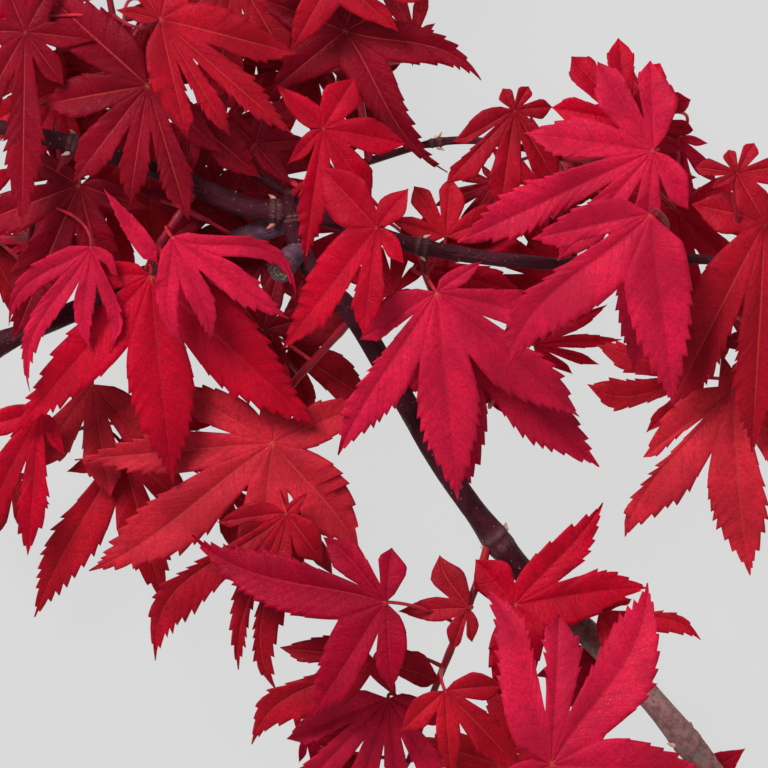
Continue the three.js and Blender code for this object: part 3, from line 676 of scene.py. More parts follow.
def samples_of(leaf):
    """Spots on a leaf that stand for it when leaves are kept apart."""
    spots = [junction_of(leaf)]
    for lobe in leaf.lobes:
        along = np.array(SAMPLE_SHARES) * lobe.length
        left = half_width(lobe, lobe.left, along)
        right = -half_width(lobe, lobe.right, along)
        far = np.append(np.tile(along, 3), lobe.length)
        spots.append(on_leaf(leaf, lobe, far, np.concatenate([left, right, [0] * 3])))
    return np.concatenate(spots)


def junction_of(leaf):
    """The place of a leaf's vein junction, as a row of its own."""
    return np.array([[leaf.x, leaf.y, leaf.z]], float)


def any_clash(spots, others, reach, drop):
    """Whether a spot is too close to another, both seen from above and in height."""
    apart = spots[:, None, :] - others[None, :, :]
    near = np.abs(apart[:, :, 2]) < drop
    return bool(np.any(near & (np.hypot(apart[:, :, 0], apart[:, :, 1]) < reach)))


def has_room(leaf, measured, taken, limbs, zones=DENSE_ZONES, apart=(BLADE_REACH, BLADE_DROP)):
    """Whether a grown leaf is clear of every blade and limb, and leaves the crown's gaps open."""
    held = (measured, taken, limbs, zones, apart)
    return fits(junction_of(leaf), *held) and fits(samples_of(leaf), *held)


def fits(spots, measured, taken, limbs, zones, apart):
    """Whether some spots of a grown leaf have room and are where the crown is dense."""
    side = np.maximum(np.abs(spots[:, 0]), np.abs(spots[:, 1]))
    if np.any(spots[:, 2] < FLOOR - 1e-6) or np.any(side > WHOLE_HALF_WIDTH):
        return False
    room = limbs[:, 3] + LIMB_ROOM
    if any_clash(spots, taken, *apart) or any_clash(spots, limbs[:, :3], room, room):
        return False
    kept = side > SEEN_HALF_WIDTH
    for x, y, reach in zones:
        kept |= np.hypot(spots[:, 0] - x, spots[:, 1] - y) < reach
    for other in measured:
        if kept.all():
            break
        kept |= covered(other, spots)
    return bool(kept.all())


def palmate_leaf(place, aim, length, lean, tints, seed):
    """A leaf of seven lobes in the usual shares, with a tint by its seed."""
    lobes = [[(aim + turn + 720) % 360, length * share] for turn, share in PALMATE]
    return leaf_of([tints[seed % len(tints)], *place, lean, lobes], seed)


def drawn_leaf(stem, draw, foot, seed):
    """One leaf whose place beside the stem and size come from the rule."""
    root = stem.at(mix(*GROWN_ROOT, draw()))
    aim = 360 * draw()
    stalk = mix(*GROWN_STALK, draw())
    length = mix(*GROWN_LENGTH, draw())
    drop = mix(*GROWN_DROP, draw())
    lean = mix(*GROWN_LEAN, draw())
    x = root[0] + stalk * math.cos(math.radians(aim))
    y = root[1] + stalk * math.sin(math.radians(aim))
    leaf = palmate_leaf((x, y, root[2] - drop), aim, length, lean, GROWN_TINTS, seed)
    if foot:
        leaf.z += FLOOR - samples_of(leaf)[:, 2].min()
    return leaf


@functools.cache
def crown():
    """Every spray's leaves: the measured ones, those that the rule adds, and the closing ones."""
    seed = FIRST_LEAF_SEED
    leaves = {}
    for name, spray in SPRAYS.items():
        leaves[name] = [leaf_of(row, seed + i) for i, row in enumerate(spray["leaves"])]
        seed += len(leaves[name])
    measured = [leaf for group in leaves.values() for leaf in group]
    taken = np.concatenate([samples_of(leaf) for leaf in measured])
    limbs = limb_places()
    for name, spray in SPRAYS.items():
        stem = Route(spray["stem"])
        draw = drawer(spray["seed"])
        left = spray["grown"]
        for _ in range(ATTEMPTS):
            if left == 0:
                break
            foot = spray.get("foot", False) and left == spray["grown"]
            leaf = drawn_leaf(stem, draw, foot, seed)
            if not has_room(leaf, measured, taken, limbs):
                continue
            seed += 1
            left -= 1
            leaves[name].append(leaf)
            taken = np.concatenate([taken, samples_of(leaf)])
    close_places(leaves, measured, taken, limbs)
    return leaves


def limb_places():
    """Places along every limb, each with the limb's radius there."""
    places = []
    for limb in LIMBS.values():
        route = Route(limb["route"])
        for share in np.arange(LIMB_PLACES + 1) / LIMB_PLACES:
            places.append([*route.at(share), limb_radius(limb, share)])
    return np.array(places)


def close_places(leaves, measured, taken, limbs):
    """Grows a small leaf over or under each closed place that no leaf covers yet."""
    near_tips = {name: Route(spray["stem"]).at(FILLER_ROOT) for name, spray in SPRAYS.items()}
    grown = [leaf for group in leaves.values() for leaf in group]
    draw = drawer(FILLER_SEED)
    dense = [(x, y, reach - FILLER_EDGE) for x, y, reach in DENSE_ZONES]
    for number, (x, y) in enumerate(closed_places()):
        place = np.array([[x, y, 0.0]])
        if any(covered(leaf, place)[0] for leaf in grown):
            continue
        zones = (*dense, (x, y, FILLER_MARGIN))
        for _ in range(FILLER_TRIES):
            leaf = filler_leaf(x, y, draw, FIRST_FILLER_SEED + number)
            if not covered(leaf, place)[0]:
                continue
            if not has_room(leaf, measured, taken, limbs, zones, (FILLER_REACH, FILLER_DROP)):
                continue
            junction = junction_of(leaf)[0]
            name = min(near_tips, key=lambda key: np.linalg.norm(near_tips[key] - junction))
            leaves[name].append(leaf)
            grown.append(leaf)
            taken = np.concatenate([taken, samples_of(leaf)])
            break


def closed_places():
    """The single places of the open crown, and a close grid of places over every dense zone."""
    places = list(CLOSED_PLACES)
    for x, y, reach in DENSE_ZONES:
        steps = np.arange(FILLER_STRIDE - reach, reach, FILLER_STRIDE)
        grid = [(dx, dy) for dx in steps for dy in steps]
        places += [(x + dx, y + dy) for dx, dy in grid if math.hypot(dx, dy) < reach - FILLER_EDGE]
    return places


def filler_leaf(x, y, draw, seed):
    """One drawn leaf whose vein junction is near a place."""
    way = 2 * math.pi * draw()
    off = mix(*FILLER_OFFSET, draw())
    aim = 360 * draw()
    length = mix(*FILLER_LENGTH, draw())
    height = mix(*FILLER_HEIGHT, draw())
    lean = mix(*GROWN_LEAN, draw())
    place = (x + off * math.cos(way), y + off * math.sin(way), height)
    return palmate_leaf(place, aim, length, lean, FILLER_TINTS, seed)


def stalk_points(leaf, stem, steps):
    """A leaf-stalk's places, from the nearest place on the spray's stem to the vein junction."""
    junction = junction_of(leaf)[0]
    places = [stem.at(place / STEM_PLACES) for place in range(FIRST_PLACE, STEM_PLACES + 1)]
    start = min(places, key=lambda spot: np.linalg.norm(spot - junction))
    length = np.linalg.norm(junction - start)
    back = math.radians(leaf.stalk_azimuth)
    way = [STALK_BACK_SHARE * math.cos(back), STALK_BACK_SHARE * math.sin(back), -STALK_SAG_SHARE]
    bend = junction + length * np.array(way)
    shares = np.linspace(0, 1, steps + 1)[:, None]
    return (1 - shares) ** 2 * start + 2 * shares * (1 - shares) * bend + shares**2 * junction


# Meshes
def mesh_object(name, vertices, faces, corner_uvs=None):
    """A smooth mesh piece from places in millimetres, with its place in its mesh."""
    mesh = bpy.data.meshes.new(name)
    places = (np.asarray(vertices, float) - CENTRE) * MM
    sizes = [len(face) for face in faces]
    corners = np.fromiter((corner for face in faces for corner in face), np.int32, sum(sizes))
    starts = np.cumsum([0] + sizes[:-1]).astype(np.int32)
    mesh.vertices.add(len(places))
    mesh.vertices.foreach_set("co", places.ravel())
    mesh.loops.add(len(corners))
    mesh.loops.foreach_set("vertex_index", corners)
    mesh.polygons.add(len(faces))
    mesh.polygons.foreach_set("loop_start", starts)
    mesh.update(calc_edges=True)
    if corner_uvs is not None:
        layer = mesh.uv_layers.new(name="vein_map")
        layer.data.foreach_set("uv", np.asarray(corner_uvs, np.float32).ravel())
    mesh.polygons.foreach_set("use_smooth", [True] * len(faces))
    if mesh.validate():
        raise RuntimeError(f"{name} has faces that Blender had to mend")
    return link_piece(name, mesh)


def add_attribute(mesh, name, kind, values):
    """Gives each vertex a number or a vector that node trees read by name."""
    layer = mesh.attributes.new(name, kind, "POINT")
    field = "value" if kind == "FLOAT" else "vector"
    layer.data.foreach_set(field, np.array(values, np.float32).ravel())


def link_piece(name, data):
    piece = bpy.data.objects.new(name, data)
    bpy.context.scene.collection.objects.link(piece)
    return piece


def take_part(piece, nodes):
    """Makes a finished piece stand for its solids and move with the branch."""
    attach(piece, "root")
    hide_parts(*nodes)


def paint(piece, material):
    piece.data.materials.clear()
    piece.data.materials.append(material)


# Blades
def margin_rows(draw, teeth):
    """A toothed margin's rows as shares of the way, and each one's height in its tooth."""
    widths = [
        1 + TOOTH_PLAY * (2 * draw() - 1) - TOOTH_SHRINK * tooth / teeth for tooth in range(teeth)
    ]
    edges = np.concatenate([[0], np.cumsum(widths) / np.sum(widths)])
    shares = []
    heights = []
    for start, end in zip(edges, edges[1:]):
        tall = mix(*TOOTH_HEIGHT, draw())
        for phase, height in TOOTH_ROWS:
            shares.append(mix(start, end, phase))
            heights.append(tall * height)
    return np.array(shares[1:] + [1.0]), np.array(heights[1:] + [0.0])


def margin_of(lobe, side, draw, teeth, sizes):
    """Distances along and across the midrib of one margin's rows, from the sinus to the tip."""
    shares, heights = margin_rows(draw, teeth)
    along = mix(side.along, lobe.length, shares)
    soften = CORNER_SHARE * (lobe.length - side.along) * np.sqrt(shares * (1 - shares))
    widths = [half_width(lobe, side, along + step * soften) for step in CORNER_STEPS]
    width = sum(widths) / len(CORNER_STEPS)
    depth = min(sizes.tooth_depth_share * lobe.length, sizes.tooth_width_share * lobe.half)
    depth *= float(ramp(*TOOTHED_LENGTHS, lobe.length))
    fade = ramp(*TOOTH_FADE_IN, shares) * (1 - TOOTH_TIP_LOSS * ramp(*TOOTH_FADE_OUT, shares))
    least = LEAST_TIP_WIDTH * lobe.half * (1 - shares)
    width = np.maximum(width + depth * fade * (heights - 0.5), least)
    return shares, along + TOOTH_LEAN * depth * fade * heights, width


def side_rows(lobe, side, sign, draw, teeth, sizes):
    """One side's rows from the junction to the tip: shares, and distances along and across."""
    shares, along, width = margin_of(lobe, side, draw, teeth, sizes)
    base = BASE_SHARES[1:]
    ray = base * side.along
    bow = float(bow_at(lobe.bow, lobe.length, side.along))
    ray_across = base * (sign * side.across + bow) - bow_at(lobe.bow, lobe.length, ray)
    return (
        np.concatenate([0 * BASE_SHARES, shares])[:, None],
        np.concatenate([[0], ray, along])[:, None],
        np.concatenate([[0], ray_across, sign * width])[:, None],
    )


def lobe_grid(leaf, lobe, draw, sizes):
    """One lobe's grid of places, its vein map and its thickness, in rows from the junction out."""
    hidden = leaf.seed >= FIRST_FILLER_SEED
    most = HIDDEN_MOST_TEETH if hidden else MOST_TEETH
    columns = np.array(HIDDEN_COLUMNS if hidden else COLUMNS, float)
    wanted = round((lobe.length - lobe.free) / (sizes.tooth_spacing / MM))
    teeth = int(np.clip(wanted, LEAST_TEETH, most))
    right = side_rows(lobe, lobe.right, -1, draw, teeth, sizes)
    left = side_rows(lobe, lobe.left, 1, draw, teeth, sizes)
    passed = (right[0] + left[0]) / 2
    start = MIDRIB_START * (lobe.right.along + lobe.left.along) / 2
    past = mix(start, lobe.length, passed[BASE_ROWS + 1 :] ** MIDRIB_LAG)
    middle = np.concatenate([BASE_SHARES[:, None] * start, past])
    reach = np.abs(columns)
    free, margin_along, margin = [np.where(columns > 0, a, b) for a, b in zip(left, right)]
    along = mix(middle, margin_along, reach)
    across = margin * reach
    veins = vein_rows(teeth)[:, None]
    turns = np.where(columns > 0, 2 * math.pi * draw(), 2 * math.pi * draw())
    wave = sizes.margin_wave / MM * min(1, lobe.length / WAVED_LENGTH)
    places = on_leaf(leaf, lobe, along, across)
    places[..., 2] += (
        sizes.cushion_share * np.abs(margin) * (1 - (2 * reach - 1) ** 2)
        - sizes.vein_groove / MM * np.exp(-((reach / GROOVE_WIDTH) ** 2)) * (1 - passed)
        + sizes.vein_pucker / MM * np.sin(math.pi * (veins % 1)) * np.sin(math.pi * reach)
        + wave * reach**2 * np.sin(WAVE_PHASE * free + turns) * ramp(*WAVE_FADE_IN, free)
    )
    maps = np.stack(np.broadcast_arrays(columns, veins), -1)
    thick = sizes.blade_thickness / MM * np.broadcast_to(1 - EDGE_THINNING * reach**2, across.shape)
    return places, maps, thick


def vein_rows(teeth):
    """The rows' places on the vein map: below 0 up to the sinus, then one for each tooth."""
    phases = [phase for phase, _ in TOOTH_ROWS]
    rows = np.add.outer(np.arange(teeth), phases).ravel()[1:]
    return np.concatenate([JUNCTION_ROW * (1 - BASE_SHARES), rows, [teeth]])


def grid_faces(grid):
    """The corners of a lobe's faces: the fan at the junction, the body, and the fan at the tip."""
    near = [grid[0, :-1], grid[1, :-1], grid[1, 1:]]
    body = [grid[1:-2, :-1], grid[2:-1, :-1], grid[2:-1, 1:], grid[1:-2, 1:]]
    far = [grid[-2, :-1], grid[-1, :-1], grid[-2, 1:]]
    return np.stack(near, 1), np.stack(body, 2), np.stack(far, 1)


def blade(leaf, sizes):
    """A leaf's blade as one closed slab: its vertices, faces and vein map, and its midribs."""
    draw = drawer(leaf.seed + BLADE_SEED)
    base = slice(1, BASE_ROWS + 1)
    tops = [junction_of(leaf)]
    thicks = [[sizes.blade_thickness / MM]]
    count = 1
    faces = []
    uvs = []
    rim = []
    ribs = []
    for number, lobe in enumerate(leaf.lobes):
        places, maps, thick = lobe_grid(leaf, lobe, draw, sizes)
        fresh = np.ones(thick.shape, bool)
        fresh[0] = False
        fresh[-1, 1:] = False
        fresh[base, 0] = number == 0
        grid = np.zeros(thick.shape, int)
        grid[fresh] = count + np.arange(fresh.sum())
        grid[-1] = grid[-1, 0]
        if number == 0:
            rim += [0, *grid[base, 0]]
        else:
            grid[base, 0] = shared
            rows = shared - count + len(tops[-1])
            tops[-1][rows, 2] = (tops[-1][rows, 2] + places[base, 0, 2]) / 2
        shared = grid[base, -1].copy()
        count += fresh.sum()
        tops.append(places[fresh])
        thicks.append(thick[fresh])
        for corners, corner_maps in zip(grid_faces(grid), grid_faces(maps)):
            faces += corners.reshape(-1, corners.shape[-1]).tolist()
            uvs.append(corner_maps.reshape(-1, 2))
        rim += [*grid[BASE_ROWS + 1 :, 0], *grid[BASE_ROWS:-1, -1][::-1]]
        ribs.append(places[:, thick.shape[1] // 2])
    rim += list(shared[-2::-1])
    return (*thickened(tops, thicks, faces, uvs, rim), ribs)


def thickened(tops, thicks, faces, uvs, rim):
    """A slab from its upper side: the vertices, faces and vein map with the lower side and rim."""
    top = np.concatenate(tops)
    bottom = top.copy()
    bottom[:, 2] -= np.concatenate(thicks)
    count = len(top)
    top_uv = np.concatenate(uvs)
    under = [[corner + count for corner in reversed(face)] for face in faces]
    starts = np.cumsum([0] + [len(face) for face in faces])
    under_uv = np.concatenate([top_uv[a:b][::-1] for a, b in zip(starts, starts[1:])])
    walls = [[a, a + count, b + count, b] for a, b in zip(rim, rim[1:] + rim[:1])]
    wall_uv = np.tile([RIM_MAP], (4 * len(walls), 1))
    maps = np.concatenate([top_uv, under_uv, wall_uv])
    return np.concatenate([top, bottom]), faces + under + walls, maps


# Node trees that follow paths and strew small forms
def feed(tree, socket, value):
    """Links an output to a socket, or sets the socket to a number, a vector or a colour."""
    if isinstance(value, bpy.types.NodeSocket):
        tree.links.new(value, socket)
    elif socket.type == "RGBA":
        socket.default_value = (*value[:3], 1)
    else:
        socket.default_value = value


def add_node(tree, kind, inputs=None, **settings):
    """A node with its settings, and with what each named input is fed."""
    node = tree.nodes.new(kind)
    for key, value in settings.items():
        setattr(node, key, value)
    for key, value in (inputs or {}).items():
        feed(tree, node.inputs[key], value)
    return node


def new_geometry_tree(name, **inputs):
    """A geometry tree and its inputs: a geometry, and those that are named by their kinds."""
    tree = bpy.data.node_groups.new(name, "GeometryNodeTree")
    for label, kind in {"Geometry": "Geometry", **inputs}.items():
        label = label.replace("_", " ")
        tree.interface.new_socket(label, in_out="INPUT", socket_type=f"NodeSocket{kind}")
    tree.interface.new_socket("Geometry", in_out="OUTPUT", socket_type="NodeSocketGeometry")
    return tree, add_node(tree, "NodeGroupInput").outputs


def end_tree(tree, given, geometry):
    """Ends a tree in realized instances, shaded smooth, with the material that it is given."""
    for kind, extra in (
        ("GeometryNodeRealizeInstances", {}),
        ("GeometryNodeSetShadeSmooth", {}),
        ("GeometryNodeSetMaterial", {"Material": given["Material"]}),
    ):
        geometry = add_node(tree, kind, {"Geometry": geometry, **extra}).outputs["Geometry"]
    add_node(tree, "NodeGroupOutput", {"Geometry": geometry})
    return tree


def path_tree():
    """Sweeps a round profile along every path, at each path point's radius."""
    tree, given = new_geometry_tree("follow_paths", Sides="Int", Thickness="Float", Material="Material")
    circle = {"Resolution": given["Sides"], "Radius": given["Thickness"]}
    profile = add_node(tree, "GeometryNodeCurvePrimitiveCircle", circle)
    sweep = {
        "Curve": given["Geometry"],
        "Profile Curve": profile.outputs["Curve"],
        "Scale": add_node(tree, "GeometryNodeInputRadius").outputs["Radius"],
        "Fill Caps": True,
    }
    return end_tree(tree, given, add_node(tree, "GeometryNodeCurveToMesh", sweep).outputs["Mesh"])


def strew_tree():
    """Strews small flattened warts over the bark, each lying flat on it."""
    tree, given = new_geometry_tree(
        "strew_lenticels",
        Density="Float",
        Spacing="Float",
        Smallest="Vector",
        Largest="Vector",
        Seed="Int",
        Material="Material",
    )
    bark = {
        "Mesh": given["Geometry"],
        "Density Max": given["Density"],
        "Distance Min": given["Spacing"],
        "Seed": given["Seed"],
    }
    spread = add_node(tree, "GeometryNodeDistributePointsOnFaces", bark, distribute_method="POISSON")
    sizes = {"Min": given["Smallest"], "Max": given["Largest"], "Seed": given["Seed"]}
    size = add_node(tree, "FunctionNodeRandomValue", sizes, data_type="FLOAT_VECTOR")
    wart = add_node(tree, "GeometryNodeMeshIcoSphere", {"Subdivisions": 1, "Radius": 1})
    places = {
        "Points": spread.outputs["Points"],
        "Rotation": spread.outputs["Rotation"],
        "Instance": wart.outputs["Mesh"],
        "Scale": size.outputs["Value"],
    }
    warts = add_node(tree, "GeometryNodeInstanceOnPoints", places)
    return end_tree(tree, given, warts.outputs["Instances"])


def bud_tree():
    """Sets the bud form on every point, along the point's own aim and at its own size."""
    tree, given = new_geometry_tree("set_buds", Bud_form="Object", Material="Material")
    form = add_node(tree, "GeometryNodeObjectInfo", {"Object": given["Bud form"]})
    attribute = "GeometryNodeInputNamedAttribute"
    aim = add_node(tree, attribute, {"Name": "aim"}, data_type="FLOAT_VECTOR")
    size = add_node(tree, attribute, {"Name": "size"}, data_type="FLOAT")
    way = {"Vector": aim.outputs["Attribute"]}
    turn = add_node(tree, "FunctionNodeAlignRotationToVector", way, axis="Z")
    places = {
        "Points": given["Geometry"],
        "Instance": form.outputs["Geometry"],
        "Rotation": turn.outputs["Rotation"],
        "Scale": size.outputs["Attribute"],
    }
    buds = add_node(tree, "GeometryNodeInstanceOnPoints", places)
    return end_tree(tree, given, buds.outputs["Instances"])


def grown_by(source, tree, name, values):
    """The plain mesh that a tree makes from a source object, which is then removed."""
    modifier = source.modifiers.new(tree.name, "NODES")
    modifier.node_group = tree
    inputs = [item for item in tree.interface.items_tree if item.in_out == "INPUT"]
    sockets = {item.name: item.identifier for item in inputs}
    for label, value in values.items():
        modifier[sockets[label]] = value
    ready = source.evaluated_get(bpy.context.evaluated_depsgraph_get())
    mesh = bpy.data.meshes.new_from_object(ready)
    if not mesh.polygons:
        raise RuntimeError(f"{tree.name} made nothing for {name}")
    mesh.name = name
    bpy.data.objects.remove(source)
    return link_piece(name, mesh)


def swept(tree, name, paths, sides, material):
    """Round rods along open paths, from each path's places and radii in millimetres."""
    curve = bpy.data.curves.new(f"{name}_paths", "CURVE")
    curve.dimensions = "3D"
    for places, radii in paths:
        spline = curve.splines.new("POLY")
        spline.points.add(len(places) - 1)
        for point, place, radius in zip(spline.points, (np.asarray(places) - CENTRE) * MM, radii):
            point.co = (*place, 1)
            point.radius = radius * MM
    values = {"Sides": sides, "Thickness": 1.0, "Material": material}
    return grown_by(link_piece(curve.name, curve), tree, name, values)


# Finishes. A pattern is a noise's scale, detail and roughness, and the values it rises between,
# and a plain noise only its scale and detail
# A blade's broad darker patches are partly its own mottling, partly painted dappled light and shade
LEAF_MOTTLE_AND_DAPPLE = (70, 4, 0.55, 0.36, 0.66)
LEAF_SPECKLE = (1500, 4, 0.75, 0.4, 0.6)
LEAF_FRECKLES = (620, 3, 0.6, 0.56, 0.66)
BARK_STRIPES = (1500, 4, 0.55, 0.35, 0.65)
BARK_BLOTCHES = (260, 4, 0.55, 0.4, 0.62)
RIND_GRAIN = (700, 5, 0.65, 0.36, 0.64)
RIND_SPOTS = (330, 3, 0.55, 0.52, 0.62)
SHOOT_BLOTCHES = (180, 3, 0.55, 0.4, 0.6)
CUT_GRAIN = (1100, 5, 0.7, 0.42, 0.6)
CUT_SPECKS = (2300, 2, 0.7, 0.56, 0.64)
VEIN_NOISE = (300, 2)
LEAF_GLOSS_NOISE = (420, 4)
SHOOT_GLOSS_NOISE = (900, 2)

# Where a blade's veins run on its vein map, as a centre and a half width, how far they
# wander and fade, and the blade's least roughness
MIDRIB_BAND = (0, 0.05)
SIDE_VEIN_BAND = (0.6, 0.085)
FINE_VEIN_BAND = (0.5, 0.14)
FINE_VEIN_ROWS = 3
NET_BAND = (0, 0.09)
NET_SCALE = 1500
STAR_BAND = (0, 0.5)
STAR_REACH = (-2.3, -3)
VEIN_WANDER = 0.5
VEIN_FADE = 0.75
LEAF_GLOSS = 0.32

# How many metres young bark takes to turn into old, and how long its stripes are drawn
AGE_BLEND = 0.006
STRIPE_STRETCH = (1, 1, 0.08)


class Finish:
    """A material in the making. What is the same all over is set on its shader's own sockets."""

    def __init__(self, name, values):
        self.material = bpy.data.materials.new(name)
        self.material.use_nodes = True
        self.tree = self.material.node_tree
        self.dress(values)

    @functools.cached_property
    def place(self):
        return self.add("ShaderNodeTexCoord").outputs["Object"]

    def dress(self, values):
        for label, value in values.items():
            feed(self.tree, self.tree.nodes["Principled BSDF"].inputs[label], value)

    def add(self, kind, inputs=None, **settings):
        return add_node(self.tree, kind, inputs, **settings)

    def sum(self, operation, *values):
        return self.add("ShaderNodeMath", dict(enumerate(values)), operation=operation).outputs[0]

    def times(self, first, second):
        return self.sum("MULTIPLY", first, second)

    def rise(self, value, low, high):
        """A mask that goes smoothly from 0 to 1 as a value goes from low to high."""
        limits = {"Value": value, "From Min": low, "From Max": high}
        return self.add("ShaderNodeMapRange", limits, interpolation_type="SMOOTHSTEP").outputs["Result"]

    def band(self, value, centre, half):
        """A mask that is 1 where a value is at a centre and fades to 0 within a half width."""
        return self.rise(self.sum("ABSOLUTE", self.sum("SUBTRACT", value, centre)), half, 0)

    def noise(self, scale, detail, roughness=0.55, place=None):
        inputs = {"Scale": scale, "Detail": detail, "Roughness": roughness}
        inputs["Vector"] = place or self.place
        return self.add("ShaderNodeTexNoise", inputs).outputs["Fac"]

    def pattern(self, kind, place=None):
        scale, detail, roughness, low, high = kind
        return self.rise(self.noise(scale, detail, roughness, place), low, high)

    def blend(self, share, first, second):
        inputs = {0: share, 6: first, 7: second}
        return self.add("ShaderNodeMix", inputs, data_type="RGBA").outputs[2]

    def rough(self, least, most, share):
        limits = {"To Min": least, "To Max": most, "Value": share}
        return self.add("ShaderNodeMapRange", limits).outputs["Result"]

    def bumps(self, height, strength, depth):
        values = {"Strength": strength, "Distance": depth * MM, "Height": height}
        return self.add("ShaderNodeBump", values).outputs["Normal"]

    def done(self, **values):
        self.dress({label.replace("_", " "): value for label, value in values.items()})
        return self.material


def darker(colour, share):
    return tuple(channel * share for channel in colour[:3])


def leaf_finish(name, colour, vein, spot):
    """Leaf blade: a tint with its vein net, mottling that also paints dappled light and shade, and a
    fine-grained soft gloss.
    """
    skin = Finish(f"{name}_blade", {"Specular IOR Level": 0.18, "Specular Tint": (1, 0.32, 0.42)})
    veins = skin.add("ShaderNodeUVMap", uv_map="vein_map").outputs["UV"]
    across, along, _ = skin.add("ShaderNodeSeparateXYZ", {"Vector": veins}).outputs
    off_midrib = skin.sum("ABSOLUTE", across)
    row = skin.sum("ADD", along, skin.times(skin.noise(*VEIN_NOISE), VEIN_WANDER))
    fading = skin.sum("SUBTRACT", 1, skin.times(off_midrib, VEIN_FADE))
    side_veins = skin.times(skin.band(skin.sum("FRACT", row), *SIDE_VEIN_BAND), fading)
    fine_row = skin.sum("ADD", skin.times(row, FINE_VEIN_ROWS), off_midrib)
    fine_veins = skin.times(skin.band(skin.sum("FRACT", fine_row), *FINE_VEIN_BAND), 0.35)
    cells = {"Scale": NET_SCALE, "Vector": skin.place}
    net = skin.add("ShaderNodeTexVoronoi", cells, feature="DISTANCE_TO_EDGE").outputs["Distance"]
    net_veins = skin.times(skin.band(net, *NET_BAND), 0.3)
    minor = skin.sum("MAXIMUM", skin.sum("MAXIMUM", side_veins, fine_veins), net_veins)
    star = skin.times(skin.rise(along, *STAR_REACH), skin.band(off_midrib, *STAR_BAND))
    speckle = skin.pattern(LEAF_SPECKLE)
    # Broad darker patches: partly the blade's own mottling, partly painted dappled shade
    shaded = skin.blend(skin.pattern(LEAF_MOTTLE_AND_DAPPLE), darker(colour, 0.62), colour)
    for mask, share, tone in (
        (speckle, 0.42, darker(colour, 0.42)),
        (skin.pattern(LEAF_FRECKLES), 0.35, darker(colour, 0.4)),
        (minor, 0.5, darker(colour, 0.4)),
        (skin.band(off_midrib, *MIDRIB_BAND), 0.8, vein),
        (star, 0.75, spot),
    ):
        shaded = skin.blend(skin.times(mask, share), shaded, tone)
    relief = skin.sum("MULTIPLY_ADD", speckle, 0.45, skin.times(minor, -0.8))
    rough = skin.rough(LEAF_GLOSS, LEAF_GLOSS + 0.1, skin.noise(*LEAF_GLOSS_NOISE))
    return skin.done(Base_Color=shaded, Roughness=rough, Normal=skin.bumps(relief, 0.55, 0.14))


def bark_finish(name, wood, old, old_reach, moss_share):
    """Bark: striped along the limb, and grey, rough and spotted up to old_reach metres along it."""
    skin = Finish(f"{name}_bark", {"Specular IOR Level": 0.18, "Specular Tint": (1, 0.6, 0.7)})
    around = skin.add("ShaderNodeAttribute", attribute_name="bark_place").outputs["Vector"]
    scar = skin.add("ShaderNodeAttribute", attribute_name="scar").outputs["Fac"]
    stretched = skin.add("ShaderNodeMapping", {"Vector": around, "Scale": STRIPE_STRETCH})
    stripes = skin.pattern(BARK_STRIPES, stretched.outputs["Vector"])
    blotches = skin.pattern(BARK_BLOTCHES)
    grain = skin.pattern(RIND_GRAIN)
    _, _, along = skin.add("ShaderNodeSeparateXYZ", {"Vector": around}).outputs
    aged = skin.rise(along, old_reach + AGE_BLEND, old_reach - AGE_BLEND)
    young = skin.blend(stripes, darker(wood.young_bark, 0.55), wood.young_bark)
    young = skin.blend(skin.times(blotches, 0.45), young, wood.bloom)
    rind = skin.blend(grain, darker(old, 0.5), old)
    rind = skin.blend(skin.times(skin.pattern(RIND_SPOTS), moss_share), rind, wood.moss)
    colour = skin.blend(skin.times(scar, 0.28), skin.blend(aged, young, rind), wood.scar)
    rough = skin.rough(0.42, 0.85, skin.sum("MAXIMUM", aged, blotches))
    relief = skin.bumps(skin.sum("ADD", stripes, grain), 0.5, 0.25)
    return skin.done(Base_Color=colour, Roughness=rough, Normal=relief)


def shoot_finish(name, colour, shade):
    """Twig, stalk, midrib, bud or lenticel: a waxy tint with fine blotches."""
    skin = Finish(name, {"Specular IOR Level": 0.35, "Specular Tint": (1, 0.5, 0.55)})
    colour = skin.blend(skin.pattern(SHOOT_BLOTCHES), colour, shade)
    rough = skin.rough(0.32, 0.5, skin.noise(*SHOOT_GLOSS_NOISE))
    return skin.done(Base_Color=colour, Roughness=rough)


def cut_finish(name, heart, grain_colour):
    """Sawn wood: rough grain in two colours, with dark specks."""
    skin = Finish(name, {"Specular IOR Level": 0.25, "Roughness": 0.85})
    grain = skin.pattern(CUT_GRAIN)
    colour = skin.blend(grain, heart, grain_colour)
    colour = skin.blend(skin.pattern(CUT_SPECKS), colour, darker(heart, 0.25))
    return skin.done(Base_Color=colour, Normal=skin.bumps(grain, 0.8, 0.3))


# How the bark's relief runs, as the noise's scale round a limb and along it and its shift, and
# how far each kind stands out; and the sizes of limb ends, sawn faces and buds
RIDGE_RUN = (2.6, 0.16, 0)
GRAIN_RUN = (7, 0.7, 40)
LUMP_RUN = (1, 0.09, 80)
RIDGE_SHARE = 0.9
GRAIN_SHARE = 0.5
LUMP_SHARE = 2.5
OLD_ROUGHNESS = 2.2
OLD_BLEND = 6
SCAR_RIDGES = (-0.9, 0.8)
SCAR_WIDTH = 0.35
END_ROWS = 3
ROUNDED = 0.6
BLUNT = 0.06
END_POINT = 0.05
SCAR_LEAST = 0.6
LEAST_RINGS = 12
CUT_RINGS = 10
CUT_SIDES = 36
CUT_DEPTH = 0.6
GROWTH_RINGS = 16
BUD_SIDES = 16
BUD_ROWS = 12
BUD_WIDTH = 0.36
BUD_SCALE_EDGE = 0.03
BUD_SEED = 77
BUD_SINK = 0.1
BUD_LEAN = 0.75
BUD_TURN = (0.1, 0.6)
BUD_PLAY = (0.8, 1.15)


# Wood
def across_of(heading):
    """Two directions across a heading, of which the first is level."""
    across = np.cross([0, 0, 1], heading)
    across /= np.linalg.norm(across)
    return across, np.cross(heading, across)


def turns_of(sides):
    return [2 * math.pi * side / sides for side in range(sides)]


